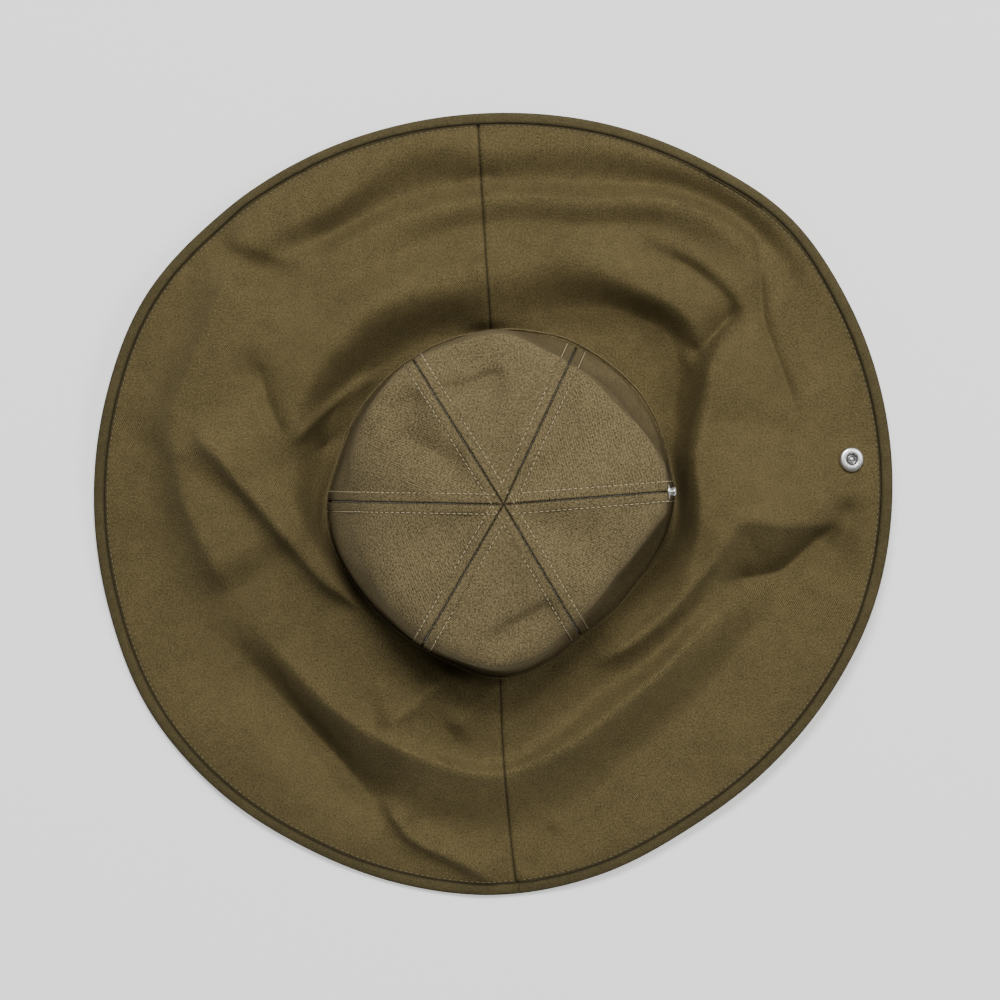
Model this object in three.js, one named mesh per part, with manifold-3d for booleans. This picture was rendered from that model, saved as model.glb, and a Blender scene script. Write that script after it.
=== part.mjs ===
// Wide-brimmed canvas hat with a six-panel crown, lying on a flat surface.
// Millimetres, +Z up. The crown axis is x = 0, y = 0 while the pieces are made.
import * as THREE from 'three';
import { mergeVertices } from 'three/addons/utils/BufferGeometryUtils.js';
import Module from 'manifold-3d';

// Cloth sizes
const HEAD_RADIUS = 92;        // base seam of the crown, 58 cm head size
const CROWN_HEIGHT = 80;       // base seam to the top of the crown
const CROWN_WALL = 2.0;
const BRIM_WIDTH = 120;        // base seam to the outer edge, seen from above
const BRIM_RISE = 50;          // the humps and hollows of the brim are shares of this
const BRIM_WALL = 1.6;
const BINDING_WIDTH = 6.3;
const BINDING_WALL = 1.0;
const SEAM_GAP = 0.3;          // clear space between pieces that are sewn together

// Snap sizes
const SOCKET_DIAMETER = 12.5;
const SOCKET_HEIGHT = 3.0;
const SOCKET_MOUTH = 4.6;      // hole that the stud's knob would go into
const SNAP_BACK_HEIGHT = 1.1;
const SNAP_POST = 3.6;         // shank that goes through the cloth
const SNAP_CLEARANCE = 0.3;
const STUD_FLANGE = 8.0;
const STUD_FLANGE_HEIGHT = 0.9;
const STUD_KNOB = 5.0;
const STUD_HEIGHT = 4.2;
const SNAP_SIDES = 24;

// Snap places
const SOCKET_ANGLE = 7.4;
const SOCKET_OUT = 0.79;       // share of the brim's width
const STUD_HEIGHT_SHARE = 0.63; // share of the crown's height
const SEAT_FLAT = 23;          // cloth lies flat this far round a snap
const SEAT_FADE = 12;

// Seams: angles round the crown axis, in degrees from +X
const CROWN_SEAMS = [4.5, 65, 122, 179, 240, 300.5];
const BRIM_SEAMS = [
  { name: 'back', atRing: 94.2, atEdge: 93.8 },
  { name: 'front', atRing: 268.8, atEdge: 272.2 },
];

// Grid sizes
const PANEL_STEPS = 10;
const BRIM_STEPS = 40;

// Section of the brim at each angle.
// ring: share of HEAD_RADIUS. *Out: share of BRIM_WIDTH from the base seam. *Rise: share of BRIM_RISE.
const BRIM_SECTIONS = [
  { angle: 0, ring: 0.98, seat: 0.18, moatOut: 0.03, moatRise: 0.17, crestOut: 0.13, crestRise: 0.70,
    dipOut: 0.30, dipRise: 0.66, ridgeOut: 0.50, ridgeRise: 0.60, footOut: 0.75, footRise: 0.46,
    lipOut: 0.85, lipRise: 0.43, edgeOut: 0.963, edgeRise: 0.42 },
  { angle: 15, ring: 0.98, seat: 0.16, moatOut: 0.03, moatRise: 0.15, crestOut: 0.18, crestRise: 0.76,
    dipOut: 0.42, dipRise: 0.62, ridgeOut: 0.62, ridgeRise: 0.54, footOut: 0.80, footRise: 0.48,
    lipOut: 0.90, lipRise: 0.46, edgeOut: 0.985, edgeRise: 0.46 },
  { angle: 30, ring: 0.99, seat: 0.15, moatOut: 0.10, moatRise: 0.16, crestOut: 0.35, crestRise: 0.80,
    dipOut: 0.52, dipRise: 0.66, ridgeOut: 0.63, ridgeRise: 0.58, footOut: 0.82, footRise: 0.52,
    lipOut: 0.92, lipRise: 0.52, edgeOut: 1.003, edgeRise: 0.51 },
  { angle: 45, ring: 1.00, seat: 0.14, moatOut: 0.27, moatRise: 0.20, crestOut: 0.43, crestRise: 0.84,
    dipOut: 0.63, dipRise: 0.54, ridgeOut: 0.77, ridgeRise: 0.60, footOut: 0.845, footRise: 0.53,
    lipOut: 0.96, lipRise: 0.62, edgeOut: 1.018, edgeRise: 0.60 },
  { angle: 60, ring: 1.00, seat: 0.14, moatOut: 0.25, moatRise: 0.22, crestOut: 0.44, crestRise: 0.82,
    dipOut: 0.61, dipRise: 0.48, ridgeOut: 0.74, ridgeRise: 0.54, footOut: 0.82, footRise: 0.48,
    lipOut: 0.93, lipRise: 0.57, edgeOut: 0.987, edgeRise: 0.55 },
  { angle: 75, ring: 1.00, seat: 0.14, moatOut: 0.11, moatRise: 0.17, crestOut: 0.36, crestRise: 0.76,
    dipOut: 0.48, dipRise: 0.52, ridgeOut: 0.61, ridgeRise: 0.53, footOut: 0.70, footRise: 0.44,
    lipOut: 0.86, lipRise: 0.53, edgeOut: 0.969, edgeRise: 0.50 },
  { angle: 90, ring: 1.00, seat: 0.14, moatOut: 0.05, moatRise: 0.16, crestOut: 0.27, crestRise: 0.62,
    dipOut: 0.46, dipRise: 0.47, ridgeOut: 0.58, ridgeRise: 0.475, footOut: 0.66, footRise: 0.42,
    lipOut: 0.80, lipRise: 0.50, edgeOut: 0.960, edgeRise: 0.46 },
  { angle: 105, ring: 0.99, seat: 0.14, moatOut: 0.01, moatRise: 0.14, crestOut: 0.26, crestRise: 0.72,
    dipOut: 0.43, dipRise: 0.49, ridgeOut: 0.57, ridgeRise: 0.50, footOut: 0.66, footRise: 0.43,
    lipOut: 0.86, lipRise: 0.54, edgeOut: 0.973, edgeRise: 0.50 },
  { angle: 120, ring: 0.98, seat: 0.15, moatOut: 0.02, moatRise: 0.15, crestOut: 0.29, crestRise: 0.84,
    dipOut: 0.45, dipRise: 0.56, ridgeOut: 0.56, ridgeRise: 0.54, footOut: 0.645, footRise: 0.45,
    lipOut: 0.79, lipRise: 0.60, edgeOut: 1.006, edgeRise: 0.44 },
  { angle: 135, ring: 0.98, seat: 0.16, moatOut: 0.04, moatRise: 0.17, crestOut: 0.285, crestRise: 0.80,
    dipOut: 0.42, dipRise: 0.60, ridgeOut: 0.58, ridgeRise: 0.51, footOut: 0.70, footRise: 0.43,
    lipOut: 0.85, lipRise: 0.45, edgeOut: 1.038, edgeRise: 0.36 },
  { angle: 150, ring: 0.98, seat: 0.17, moatOut: 0.09, moatRise: 0.21, crestOut: 0.27, crestRise: 0.72,
    dipOut: 0.42, dipRise: 0.60, ridgeOut: 0.60, ridgeRise: 0.50, footOut: 0.76, footRise: 0.40,
    lipOut: 0.88, lipRise: 0.36, edgeOut: 1.077, edgeRise: 0.32 },
  { angle: 165, ring: 0.98, seat: 0.18, moatOut: 0.06, moatRise: 0.22, crestOut: 0.23, crestRise: 0.54,
    dipOut: 0.38, dipRise: 0.52, ridgeOut: 0.58, ridgeRise: 0.46, footOut: 0.76, footRise: 0.32,
    lipOut: 0.90, lipRise: 0.28, edgeOut: 1.068, edgeRise: 0.24 },
  { angle: 180, ring: 1.01, seat: 0.20, moatOut: 0.03, moatRise: 0.18, crestOut: 0.14, crestRise: 0.52,
    dipOut: 0.35, dipRise: 0.46, ridgeOut: 0.56, ridgeRise: 0.38, footOut: 0.72, footRise: 0.24,
    lipOut: 0.88, lipRise: 0.18, edgeOut: 1.037, edgeRise: 0.12 },
  { angle: 195, ring: 1.00, seat: 0.24, moatOut: 0.03, moatRise: 0.22, crestOut: 0.08, crestRise: 0.44,
    dipOut: 0.30, dipRise: 0.40, ridgeOut: 0.48, ridgeRise: 0.32, footOut: 0.70, footRise: 0.20,
    lipOut: 0.86, lipRise: 0.12, edgeOut: 1.040, edgeRise: 0.06 },
  { angle: 210, ring: 0.98, seat: 0.28, moatOut: 0.02, moatRise: 0.30, crestOut: 0.08, crestRise: 0.42,
    dipOut: 0.27, dipRise: 0.42, ridgeOut: 0.44, ridgeRise: 0.38, footOut: 0.57, footRise: 0.14,
    lipOut: 0.88, lipRise: 0.08, edgeOut: 1.063, edgeRise: 0.02 },
  { angle: 225, ring: 0.98, seat: 0.30, moatOut: 0.02, moatRise: 0.33, crestOut: 0.08, crestRise: 0.44,
    dipOut: 0.27, dipRise: 0.52, ridgeOut: 0.42, ridgeRise: 0.50, footOut: 0.545, footRise: 0.07,
    lipOut: 0.78, lipRise: 0.20, edgeOut: 1.037, edgeRise: 0.06 },
  { angle: 240, ring: 0.98, seat: 0.34, moatOut: 0.02, moatRise: 0.37, crestOut: 0.08, crestRise: 0.42,
    dipOut: 0.27, dipRise: 0.40, ridgeOut: 0.42, ridgeRise: 0.50, footOut: 0.57, footRise: 0.05,
    lipOut: 0.80, lipRise: 0.19, edgeOut: 1.002, edgeRise: 0.06 },
  { angle: 255, ring: 0.99, seat: 0.34, moatOut: 0.02, moatRise: 0.36, crestOut: 0.18, crestRise: 0.46,
    dipOut: 0.36, dipRise: 0.38, ridgeOut: 0.43, ridgeRise: 0.46, footOut: 0.63, footRise: 0.05,
    lipOut: 0.80, lipRise: 0.09, edgeOut: 0.981, edgeRise: 0.02 },
  { angle: 270, ring: 1.00, seat: 0.34, moatOut: 0.03, moatRise: 0.35, crestOut: 0.14, crestRise: 0.46,
    dipOut: 0.375, dipRise: 0.32, ridgeOut: 0.43, ridgeRise: 0.42, footOut: 0.65, footRise: 0.05,
    lipOut: 0.78, lipRise: 0.09, edgeOut: 0.960, edgeRise: 0.02 },
  { angle: 285, ring: 0.935, seat: 0.36, moatOut: 0.03, moatRise: 0.37, crestOut: 0.10, crestRise: 0.44,
    dipOut: 0.30, dipRise: 0.29, ridgeOut: 0.39, ridgeRise: 0.44, footOut: 0.66, footRise: 0.04,
    lipOut: 0.82, lipRise: 0.13, edgeOut: 0.975, edgeRise: 0.10 },
  { angle: 300, ring: 0.87, seat: 0.36, moatOut: 0.03, moatRise: 0.37, crestOut: 0.11, crestRise: 0.44,
    dipOut: 0.265, dipRise: 0.30, ridgeOut: 0.375, ridgeRise: 0.47, footOut: 0.59, footRise: 0.04,
    lipOut: 0.78, lipRise: 0.18, edgeOut: 0.985, edgeRise: 0.14 },
  { angle: 315, ring: 0.87, seat: 0.32, moatOut: 0.03, moatRise: 0.33, crestOut: 0.17, crestRise: 0.46,
    dipOut: 0.28, dipRise: 0.30, ridgeOut: 0.37, ridgeRise: 0.48, footOut: 0.55, footRise: 0.08,
    lipOut: 0.78, lipRise: 0.24, edgeOut: 0.985, edgeRise: 0.20 },
  { angle: 330, ring: 0.88, seat: 0.22, moatOut: 0.02, moatRise: 0.23, crestOut: 0.18, crestRise: 0.48,
    dipOut: 0.30, dipRise: 0.34, ridgeOut: 0.40, ridgeRise: 0.46, footOut: 0.57, footRise: 0.20,
    lipOut: 0.78, lipRise: 0.30, edgeOut: 0.994, edgeRise: 0.28 },
  { angle: 345, ring: 0.935, seat: 0.20, moatOut: 0.03, moatRise: 0.18, crestOut: 0.13, crestRise: 0.60,
    dipOut: 0.30, dipRise: 0.44, ridgeOut: 0.46, ridgeRise: 0.44, footOut: 0.66, footRise: 0.36,
    lipOut: 0.80, lipRise: 0.36, edgeOut: 0.979, edgeRise: 0.36 },
];

// Creases and hollows across the brim. path: [angle, share of BRIM_WIDTH from the base seam].
// rise: share of BRIM_RISE. left, right, soft: shares of BRIM_WIDTH, to either side as the path runs.
const BRIM_FOLDS = [
  { name: 'left_crease', rise: 0.26, left: 0.12, right: 0.022, soft: 0.006,
    path: [[165, 0.69], [168, 0.6], [171, 0.5], [175, 0.4], [180, 0.3], [186, 0.22], [193, 0.15],
      [201, 0.1], [211, 0.05], [223, 0.005]] },
  { name: 'left_shade', rise: -0.14, left: 0.06, right: 0.035, soft: 0.015,
    path: [[148, 0.6], [155, 0.47], [160.5, 0.38], [165, 0.3], [170, 0.225], [178, 0.15]] },
  { name: 'left_faint', rise: -0.05, left: 0.025, right: 0.03, soft: 0.015,
    path: [[149, 0.52], [155, 0.4], [160, 0.31], [164, 0.23]] },
  { name: 'left_step_upper', rise: 0.18, left: 0.16, right: 0.08, soft: 0.025,
    path: [[141, 0.77], [150, 0.72], [157, 0.695], [164, 0.69], [172, 0.73]] },
  { name: 'left_step_lower', rise: 0.14, left: 0.16, right: 0.08, soft: 0.025,
    path: [[166, 0.75], [172, 0.67], [178, 0.6], [184, 0.55], [193, 0.51]] },
  { name: 'front_step', rise: 0.08, left: 0.05, right: 0.028, soft: 0.008,
    path: [[206, 0.47], [214, 0.435], [228, 0.42], [242, 0.42], [256, 0.43], [268, 0.435], [280, 0.4],
      [290, 0.375], [303, 0.36], [316, 0.35], [328, 0.37], [340, 0.44]] },
  { name: 'inner_step', rise: 0.12, left: 0.05, right: 0.04, soft: 0.008,
    path: [[296, 0.12], [307, 0.165], [316, 0.195], [328, 0.215], [340, 0.235], [350, 0.245],
      [357, 0.26]] },
  { name: 'corner_right', rise: 0.22, left: 0.028, right: 0.12, soft: 0.008,
    path: [[8, 0.13], [18, 0.17], [25, 0.24], [30, 0.34], [34.5, 0.45], [37.5, 0.53], [40.2, 0.61]] },
  { name: 'corner_groove', rise: -0.34, left: 0.03, right: 0.035, soft: 0.02,
    path: [[28, 0.03], [33, 0.13], [36.3, 0.25], [38.2, 0.37], [39.2, 0.47], [40, 0.57]] },
  { name: 'corner_left', rise: 0.12, left: 0.028, right: 0.08, soft: 0.01,
    path: [[37.5, 0.56], [42, 0.6], [47, 0.6], [52, 0.585], [58, 0.555], [64, 0.52]] },
  { name: 'corner_crease', rise: -0.08, left: 0.025, right: 0.035, soft: 0.008,
    path: [[49, 0.87], [46, 0.835], [42.5, 0.77], [39, 0.7], [35, 0.64], [30, 0.615], [22, 0.6],
      [15, 0.59]] },
  { name: 'right_streak', rise: -0.05, left: 0.03, right: 0.03, soft: 0.01,
    path: [[14, 0.6], [17.5, 0.48], [21, 0.37], [24, 0.25]] },
  { name: 'right_patch_ridge', rise: 0.26, left: 0.14, right: 0.11, soft: 0.012,
    path: [[346, 0.17], [353, 0.23], [356.8, 0.32], [357.3, 0.42], [357.3, 0.55], [358, 0.78]] },
  { name: 'right_patch_foot', rise: -0.18, left: 0.07, right: 0.06, soft: 0.02,
    path: [[347, 0.22], [345, 0.35], [345, 0.48], [348.5, 0.6], [356, 0.72]] },
  { name: 'right_hollow', rise: -0.05, left: 0.05, right: 0.05, soft: 0.03,
    path: [[347, 0.78], [354, 0.79], [2, 0.78]] },
  { name: 'back_left_crease', rise: 0.06, left: 0.03, right: 0.12, soft: 0.015,
    path: [[126, 0.61], [131, 0.68], [133, 0.78], [134.5, 0.86], [136, 0.98]] },
  { name: 'back_left_nick', rise: -0.03, left: 0.02, right: 0.02, soft: 0.01,
    path: [[142, 0.88], [142.6, 0.94], [143, 1.02]] },
  { name: 'back_seam_dent', rise: -0.04, left: 0.025, right: 0.03, soft: 0.015,
    path: [[90, 0.69], [95, 0.68], [100, 0.655]] },
  { name: 'floor_left_wrinkle', rise: -0.12, left: 0.03, right: 0.03, soft: 0.008,
    path: [[52, 0.27], [48.5, 0.18], [44, 0.09], [34, 0.02]] },
  { name: 'floor_right_wrinkle', rise: -0.11, left: 0.035, right: 0.035, soft: 0.01,
    path: [[50, 0.27], [56, 0.17], [64, 0.085], [78, 0.045]] },
  { name: 'left_floor_ridge', rise: 0.12, left: 0.025, right: 0.025, soft: 0.006,
    path: [[132, 0.05], [144, 0.095], [155, 0.155], [165, 0.225]] },
  { name: 'left_floor_crease', rise: -0.09, left: 0.025, right: 0.025, soft: 0.008,
    path: [[153, 0], [159, 0.05], [165, 0.11]] },
  { name: 'front_facet', rise: 0.34, left: 0.045, right: 0.09, soft: 0.008,
    path: [[254, -0.04], [252, 0.02], [249.5, 0.1], [246.5, 0.2], [243, 0.3], [238, 0.41]] },
  { name: 'front_facet_small', rise: 0.26, left: 0.06, right: 0.035, soft: 0.008,
    path: [[270, 0], [266.5, 0.05], [263, 0.11], [259.5, 0.18], [255.5, 0.28]] },
  { name: 'front_band', rise: -0.10, left: 0.06, right: 0.025, soft: 0.008,
    path: [[248, 0.35], [258, 0.385], [270, 0.385], [281, 0.35]] },
  { name: 'front_crease', rise: 0.16, left: 0.09, right: 0.022, soft: 0.006,
    path: [[247, 0.63], [253, 0.745], [257, 0.785], [262, 0.81], [266, 0.855], [270, 0.92]] },
  { name: 'front_faint', rise: -0.04, left: 0.02, right: 0.03, soft: 0.01,
    path: [[273.5, 0.89], [276, 0.8], [279.5, 0.69]] },
];
const FOLD_TAPER = 0.22;       // share of a fold's length over which each end dies out
const SEAM_FADE = 0.06;        // folds die out over this share of the brim towards the base seam

// Section of the crown at each angle.
// shoulder and wall: shares of HEAD_RADIUS. shoulderRise: share of CROWN_HEIGHT.
const CROWN_SECTIONS = [
  { angle: 0, shoulder: 0.9, shoulderRise: 0.79, wall: 0.965 },
  { angle: 15, shoulder: 0.91, shoulderRise: 0.80, wall: 0.960 },
  { angle: 30, shoulder: 0.87, shoulderRise: 0.78, wall: 0.950 },
  { angle: 45, shoulder: 0.84, shoulderRise: 0.77, wall: 0.955 },
  { angle: 60, shoulder: 0.86, shoulderRise: 0.80, wall: 0.965 },
  { angle: 75, shoulder: 0.92, shoulderRise: 0.84, wall: 0.985 },
  { angle: 90, shoulder: 0.97, shoulderRise: 0.86, wall: 1.000 },
  { angle: 105, shoulder: 0.935, shoulderRise: 0.84, wall: 0.980 },
  { angle: 120, shoulder: 0.925, shoulderRise: 0.84, wall: 0.960 },
  { angle: 135, shoulder: 0.915, shoulderRise: 0.84, wall: 0.955 },
  { angle: 150, shoulder: 0.89, shoulderRise: 0.83, wall: 0.940 },
  { angle: 165, shoulder: 0.87, shoulderRise: 0.80, wall: 0.955 },
  { angle: 180, shoulder: 0.83, shoulderRise: 0.76, wall: 0.985 },
  { angle: 195, shoulder: 0.88, shoulderRise: 0.76, wall: 0.970 },
  { angle: 210, shoulder: 0.88, shoulderRise: 0.79, wall: 0.920 },
  { angle: 225, shoulder: 0.87, shoulderRise: 0.81, wall: 0.900 },
  { angle: 240, shoulder: 0.88, shoulderRise: 0.84, wall: 0.910 },
  { angle: 255, shoulder: 0.9, shoulderRise: 0.82, wall: 0.940 },
  { angle: 270, shoulder: 0.89, shoulderRise: 0.79, wall: 0.955 },
  { angle: 285, shoulder: 0.83, shoulderRise: 0.77, wall: 0.910 },
  { angle: 300, shoulder: 0.76, shoulderRise: 0.79, wall: 0.830 },
  { angle: 315, shoulder: 0.75, shoulderRise: 0.81, wall: 0.810 },
  { angle: 330, shoulder: 0.8, shoulderRise: 0.82, wall: 0.840 },
  { angle: 345, shoulder: 0.87, shoulderRise: 0.82, wall: 0.910 },
];
// Rows of one panel from the top of the crown down to the base seam.
const DOME_ROWS = [0, 0.3, 0.55, 0.76, 0.9, 1.0];
const WALL_ROWS = [0.14, 0.36, 0.6, 0.82, 1.0];
const DOME_POWER = 2.5;
const WALL_MIDDLE = 0.5;

// Dents in the top of the crown. path: [angle, share of the shoulder's radius].
// rise: share of CROWN_HEIGHT. left, right, soft: shares of HEAD_RADIUS.
const CROWN_DENTS = [
  { name: 'back_dent', rise: -0.02, left: 0.03, right: 0.06, soft: 0.01,
    path: [[106, 0.78], [98, 0.73], [88, 0.71], [78, 0.74], [70, 0.81]] },
  { name: 'back_left_dent', rise: -0.025, left: 0.03, right: 0.06, soft: 0.01,
    path: [[150, 0.88], [140, 0.83], [130, 0.78], [120, 0.77]] },
  { name: 'left_ledge', rise: -0.03, left: 0.05, right: 0.08, soft: 0.02,
    path: [[148, 0.97], [162, 0.99], [180, 1.03], [196, 0.98], [210, 0.96]] },
  { name: 'front_dent', rise: -0.04, left: 0.1, right: 0.03, soft: 0.01,
    path: [[262, 0.9], [272, 0.84], [284, 0.8], [296, 0.84]] },
];

const RAD = Math.PI / 180;
const BRIM_STATIONS = ['moat', 'crest', 'dip', 'ridge', 'foot', 'lip', 'edge'];
const BINDING_HALF = BRIM_WALL / 2 + SEAM_GAP + BINDING_WALL;

// Shape helpers
function smooth(value) {
  const t = Math.min(1, Math.max(0, value));
  return t * t * (3 - 2 * t);
}

function roundTable(rows, column, angle) {
  const count = rows.length;
  const step = 360 / count;
  const turned = ((angle % 360) + 360) % 360;
  const index = Math.floor(turned / step) % count;
  const t = turned / step - Math.floor(turned / step);
  const before = rows[(index + count - 1) % count][column];
  const from = rows[index][column];
  const to = rows[(index + 1) % count][column];
  const after = rows[(index + 2) % count][column];
  const slopeFrom = (to - before) / 2;
  const slopeTo = (after - from) / 2;
  return from + t * (slopeFrom + t * (3 * (to - from) - 2 * slopeFrom - slopeTo
    + t * (2 * (from - to) + slopeFrom + slopeTo)));
}

function steadyCurve(xs, ys, x) {
  const last = xs.length - 1;
  if (x <= xs[0]) {
    return ys[0];
  }
  if (x >= xs[last]) {
    return ys[last];
  }
  const steps = [];
  const slopes = [];
  for (let i = 0; i < last; i += 1) {
    steps.push(xs[i + 1] - xs[i]);
    slopes.push((ys[i + 1] - ys[i]) / steps[i]);
  }
  const tangents = [slopes[0]];
  for (let i = 1; i < last; i += 1) {
    const same = slopes[i - 1] * slopes[i] > 0;
    const near = 2 * steps[i] + steps[i - 1];
    const far = steps[i] + 2 * steps[i - 1];
    tangents.push(same ? (near + far) / (near / slopes[i - 1] + far / slopes[i]) : 0);
  }
  tangents.push(slopes[last - 1]);
  let k = 0;
  while (x > xs[k + 1]) {
    k += 1;
  }
  const t = (x - xs[k]) / steps[k];
  const rise = ys[k + 1] - ys[k];
  const a = tangents[k] * steps[k];
  const b = tangents[k + 1] * steps[k];
  return ys[k] + t * (a + t * (3 * rise - 2 * a - b + t * (a + b - 2 * rise)));
}

function polar(radius, angle) {
  return [radius * Math.cos(angle * RAD), radius * Math.sin(angle * RAD)];
}

function pathLine(points) {
  const curve = new THREE.CatmullRomCurve3(points.map(([x, y]) => new THREE.Vector3(x, y, 0)));
  return curve.getPoints((points.length - 1) * 5).map((p) => [p.x, p.y]);
}

function foldLift(x, y, line, fold, unit) {
  let nearest = Infinity;
  let along = 0;
  let side = 0;
  let run = 0;
  for (let i = 0; i < line.length - 1; i += 1) {
    const [ax, ay] = line[i];
    const ux = line[i + 1][0] - ax;
    const uy = line[i + 1][1] - ay;
    const length = Math.hypot(ux, uy);
    const t = Math.min(1, Math.max(0, ((x - ax) * ux + (y - ay) * uy) / (length * length)));
    const dx = x - ax - t * ux;
    const dy = y - ay - t * uy;
    const away = Math.hypot(dx, dy);
    if (away < nearest) {
      nearest = away;
      along = run + t * length;
      side = ux * dy - uy * dx;
    }
    run += length;
  }
  const width = (side > 0 ? fold.left : fold.right) * unit;
  const soft = fold.soft * unit;
  const ends = smooth(along / run / FOLD_TAPER) * smooth((1 - along / run) / FOLD_TAPER);
  return fold.rise * ends * Math.exp((soft - Math.hypot(nearest, soft)) / width);
}

// Brim surface, through the middle of the cloth
function ringRadius(angle) {
  return HEAD_RADIUS * roundTable(BRIM_SECTIONS, 'ring', angle);
}

function brimPoint(angle, out) {
  return polar(ringRadius(angle) + out * BRIM_WIDTH, angle);
}

const brimLines = BRIM_FOLDS.map((fold) => pathLine(fold.path.map(([a, out]) => brimPoint(a, out))));

function brimStations(angle) {
  const outs = [0];
  const rises = [roundTable(BRIM_SECTIONS, 'seat', angle)];
  for (const station of BRIM_STATIONS) {
    outs.push(roundTable(BRIM_SECTIONS, `${station}Out`, angle));
    rises.push(roundTable(BRIM_SECTIONS, `${station}Rise`, angle));
  }
  return { outs, rises };
}

function brimHeight(angle, out) {
  const { outs, rises } = brimStations(angle);
  const [x, y] = brimPoint(angle, out);
  let share = steadyCurve(outs, rises, out);
  const fade = smooth(out / SEAM_FADE);
  BRIM_FOLDS.forEach((fold, i) => {
    share += fade * foldLift(x, y, brimLines[i], fold, BRIM_WIDTH);
  });
  return Math.max(share * BRIM_RISE, BINDING_HALF);
}

// Crown surface, the outside of the cloth
function crownBase(angle) {
  return brimHeight(angle, 0) + BRIM_WALL / 2 + SEAM_GAP;
}

function crownPoint(angle, row) {
  const shoulder = HEAD_RADIUS * roundTable(CROWN_SECTIONS, 'shoulder', angle);
  const wall = HEAD_RADIUS * roundTable(CROWN_SECTIONS, 'wall', angle);
  const base = crownBase(angle);
  const rise = CROWN_HEIGHT * roundTable(CROWN_SECTIONS, 'shoulderRise', angle);
  if (row <= 1) {
    const top = crownBase(0) + CROWN_HEIGHT;
    let z = base + rise + (top - base - rise) * (1 - row ** DOME_POWER);
    const [x, y] = polar(row * shoulder, angle);
    CROWN_DENTS.forEach((dent, i) => {
      z += CROWN_HEIGHT * foldLift(x, y, crownLines[i], dent, HEAD_RADIUS);
    });
    return new THREE.Vector3(x, y, z);
  }
  const down = row - 1;
  const radius = steadyCurve([0, WALL_MIDDLE, 1], [shoulder, wall, ringRadius(angle)], down);
  const [x, y] = polar(radius, angle);
  let z = base + rise * (1 - down);
  CROWN_DENTS.forEach((dent, i) => {
    z += (1 - down) * CROWN_HEIGHT * foldLift(x, y, crownLines[i], dent, HEAD_RADIUS);
  });
  return new THREE.Vector3(x, y, z);
}

const crownLines = CROWN_DENTS.map((dent) => pathLine(dent.path.map(([a, share]) => (
  polar(share * HEAD_RADIUS * roundTable(CROWN_SECTIONS, 'shoulder', a), a)))));

// Snap places and directions
function surfaceNormal(point, a, b) {
  const u = new THREE.Vector3().subVectors(a, point);
  const v = new THREE.Vector3().subVectors(b, point);
  return u.cross(v).normalize();
}

function brimVector(angle, out) {
  const [x, y] = brimPoint(angle, out);
  return new THREE.Vector3(x, y, brimHeight(angle, out));
}

const socketPlace = brimVector(SOCKET_ANGLE, SOCKET_OUT);
const socketNormal = surfaceNormal(socketPlace, brimVector(SOCKET_ANGLE, SOCKET_OUT + 0.02),
  brimVector(SOCKET_ANGLE + 1, SOCKET_OUT));

const studAngle = CROWN_SEAMS[0];
const studRow = 2 - STUD_HEIGHT_SHARE / roundTable(CROWN_SECTIONS, 'shoulderRise', studAngle);
const studPlace = crownPoint(studAngle, studRow);
const studNormal = surfaceNormal(studPlace, crownPoint(studAngle, studRow + 0.05),
  crownPoint(studAngle + 1, studRow));

function seatOnSnap(point, place, normal) {
  const offset = new THREE.Vector3().subVectors(point, place);
  const height = offset.dot(normal);
  const hold = 1 - smooth((offset.length() - SEAT_FLAT) / SEAT_FADE);
  return point.addScaledVector(normal, -height * hold);
}

// Mesh helpers
function closedMesh(positions, faces) {
  const geometry = new THREE.BufferGeometry();
  geometry.setAttribute('position', new THREE.Float32BufferAttribute(positions.flat(), 3));
  geometry.setIndex(faces.flat());
  return mergeVertices(geometry, 1e-4);
}

function dropFlatFaces(geometry) {
  const index = geometry.getIndex().array;
  const kept = [];
  for (let i = 0; i < index.length; i += 3) {
    const [a, b, c] = [index[i], index[i + 1], index[i + 2]];
    if (a !== b && b !== c && c !== a) {
      kept.push(a, b, c);
    }
  }
  geometry.setIndex(kept);
  return geometry;
}

function clothShell(topRows, bottomRows) {
  const rows = topRows.length;
  const columns = topRows[0].length;
  const positions = [];
  const at = (i, j, under) => (under * rows + i) * columns + j;
  for (const side of [topRows, bottomRows]) {
    for (const row of side) {
      row.forEach((p) => positions.push([p.x, p.y, p.z]));
    }
  }
  const faces = [];
  const quad = (a, b, c, d) => faces.push([a, b, c], [a, c, d]);
  for (let i = 0; i < rows - 1; i += 1) {
    for (let j = 0; j < columns - 1; j += 1) {
      quad(at(i, j, 0), at(i + 1, j, 0), at(i + 1, j + 1, 0), at(i, j + 1, 0));
      quad(at(i, j, 1), at(i, j + 1, 1), at(i + 1, j + 1, 1), at(i + 1, j, 1));
    }
    quad(at(i, 0, 0), at(i, 0, 1), at(i + 1, 0, 1), at(i + 1, 0, 0));
    quad(at(i, columns - 1, 0), at(i + 1, columns - 1, 0), at(i + 1, columns - 1, 1), at(i, columns - 1, 1));
  }
  for (let j = 0; j < columns - 1; j += 1) {
    quad(at(0, j, 0), at(0, j + 1, 0), at(0, j + 1, 1), at(0, j, 1));
    quad(at(rows - 1, j, 0), at(rows - 1, j, 1), at(rows - 1, j + 1, 1), at(rows - 1, j + 1, 0));
  }
  return dropFlatFaces(closedMesh(positions, faces));
}

function gridNormal(rows, i, j) {
  const last = rows.length - 1;
  const end = rows[0].length - 1;
  const down = new THREE.Vector3().subVectors(rows[Math.min(i + 1, last)][j], rows[Math.max(i - 1, 0)][j]);
  const across = new THREE.Vector3().subVectors(rows[i][Math.min(j + 1, end)], rows[i][Math.max(j - 1, 0)]);
  return down.cross(across).normalize();
}

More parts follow.
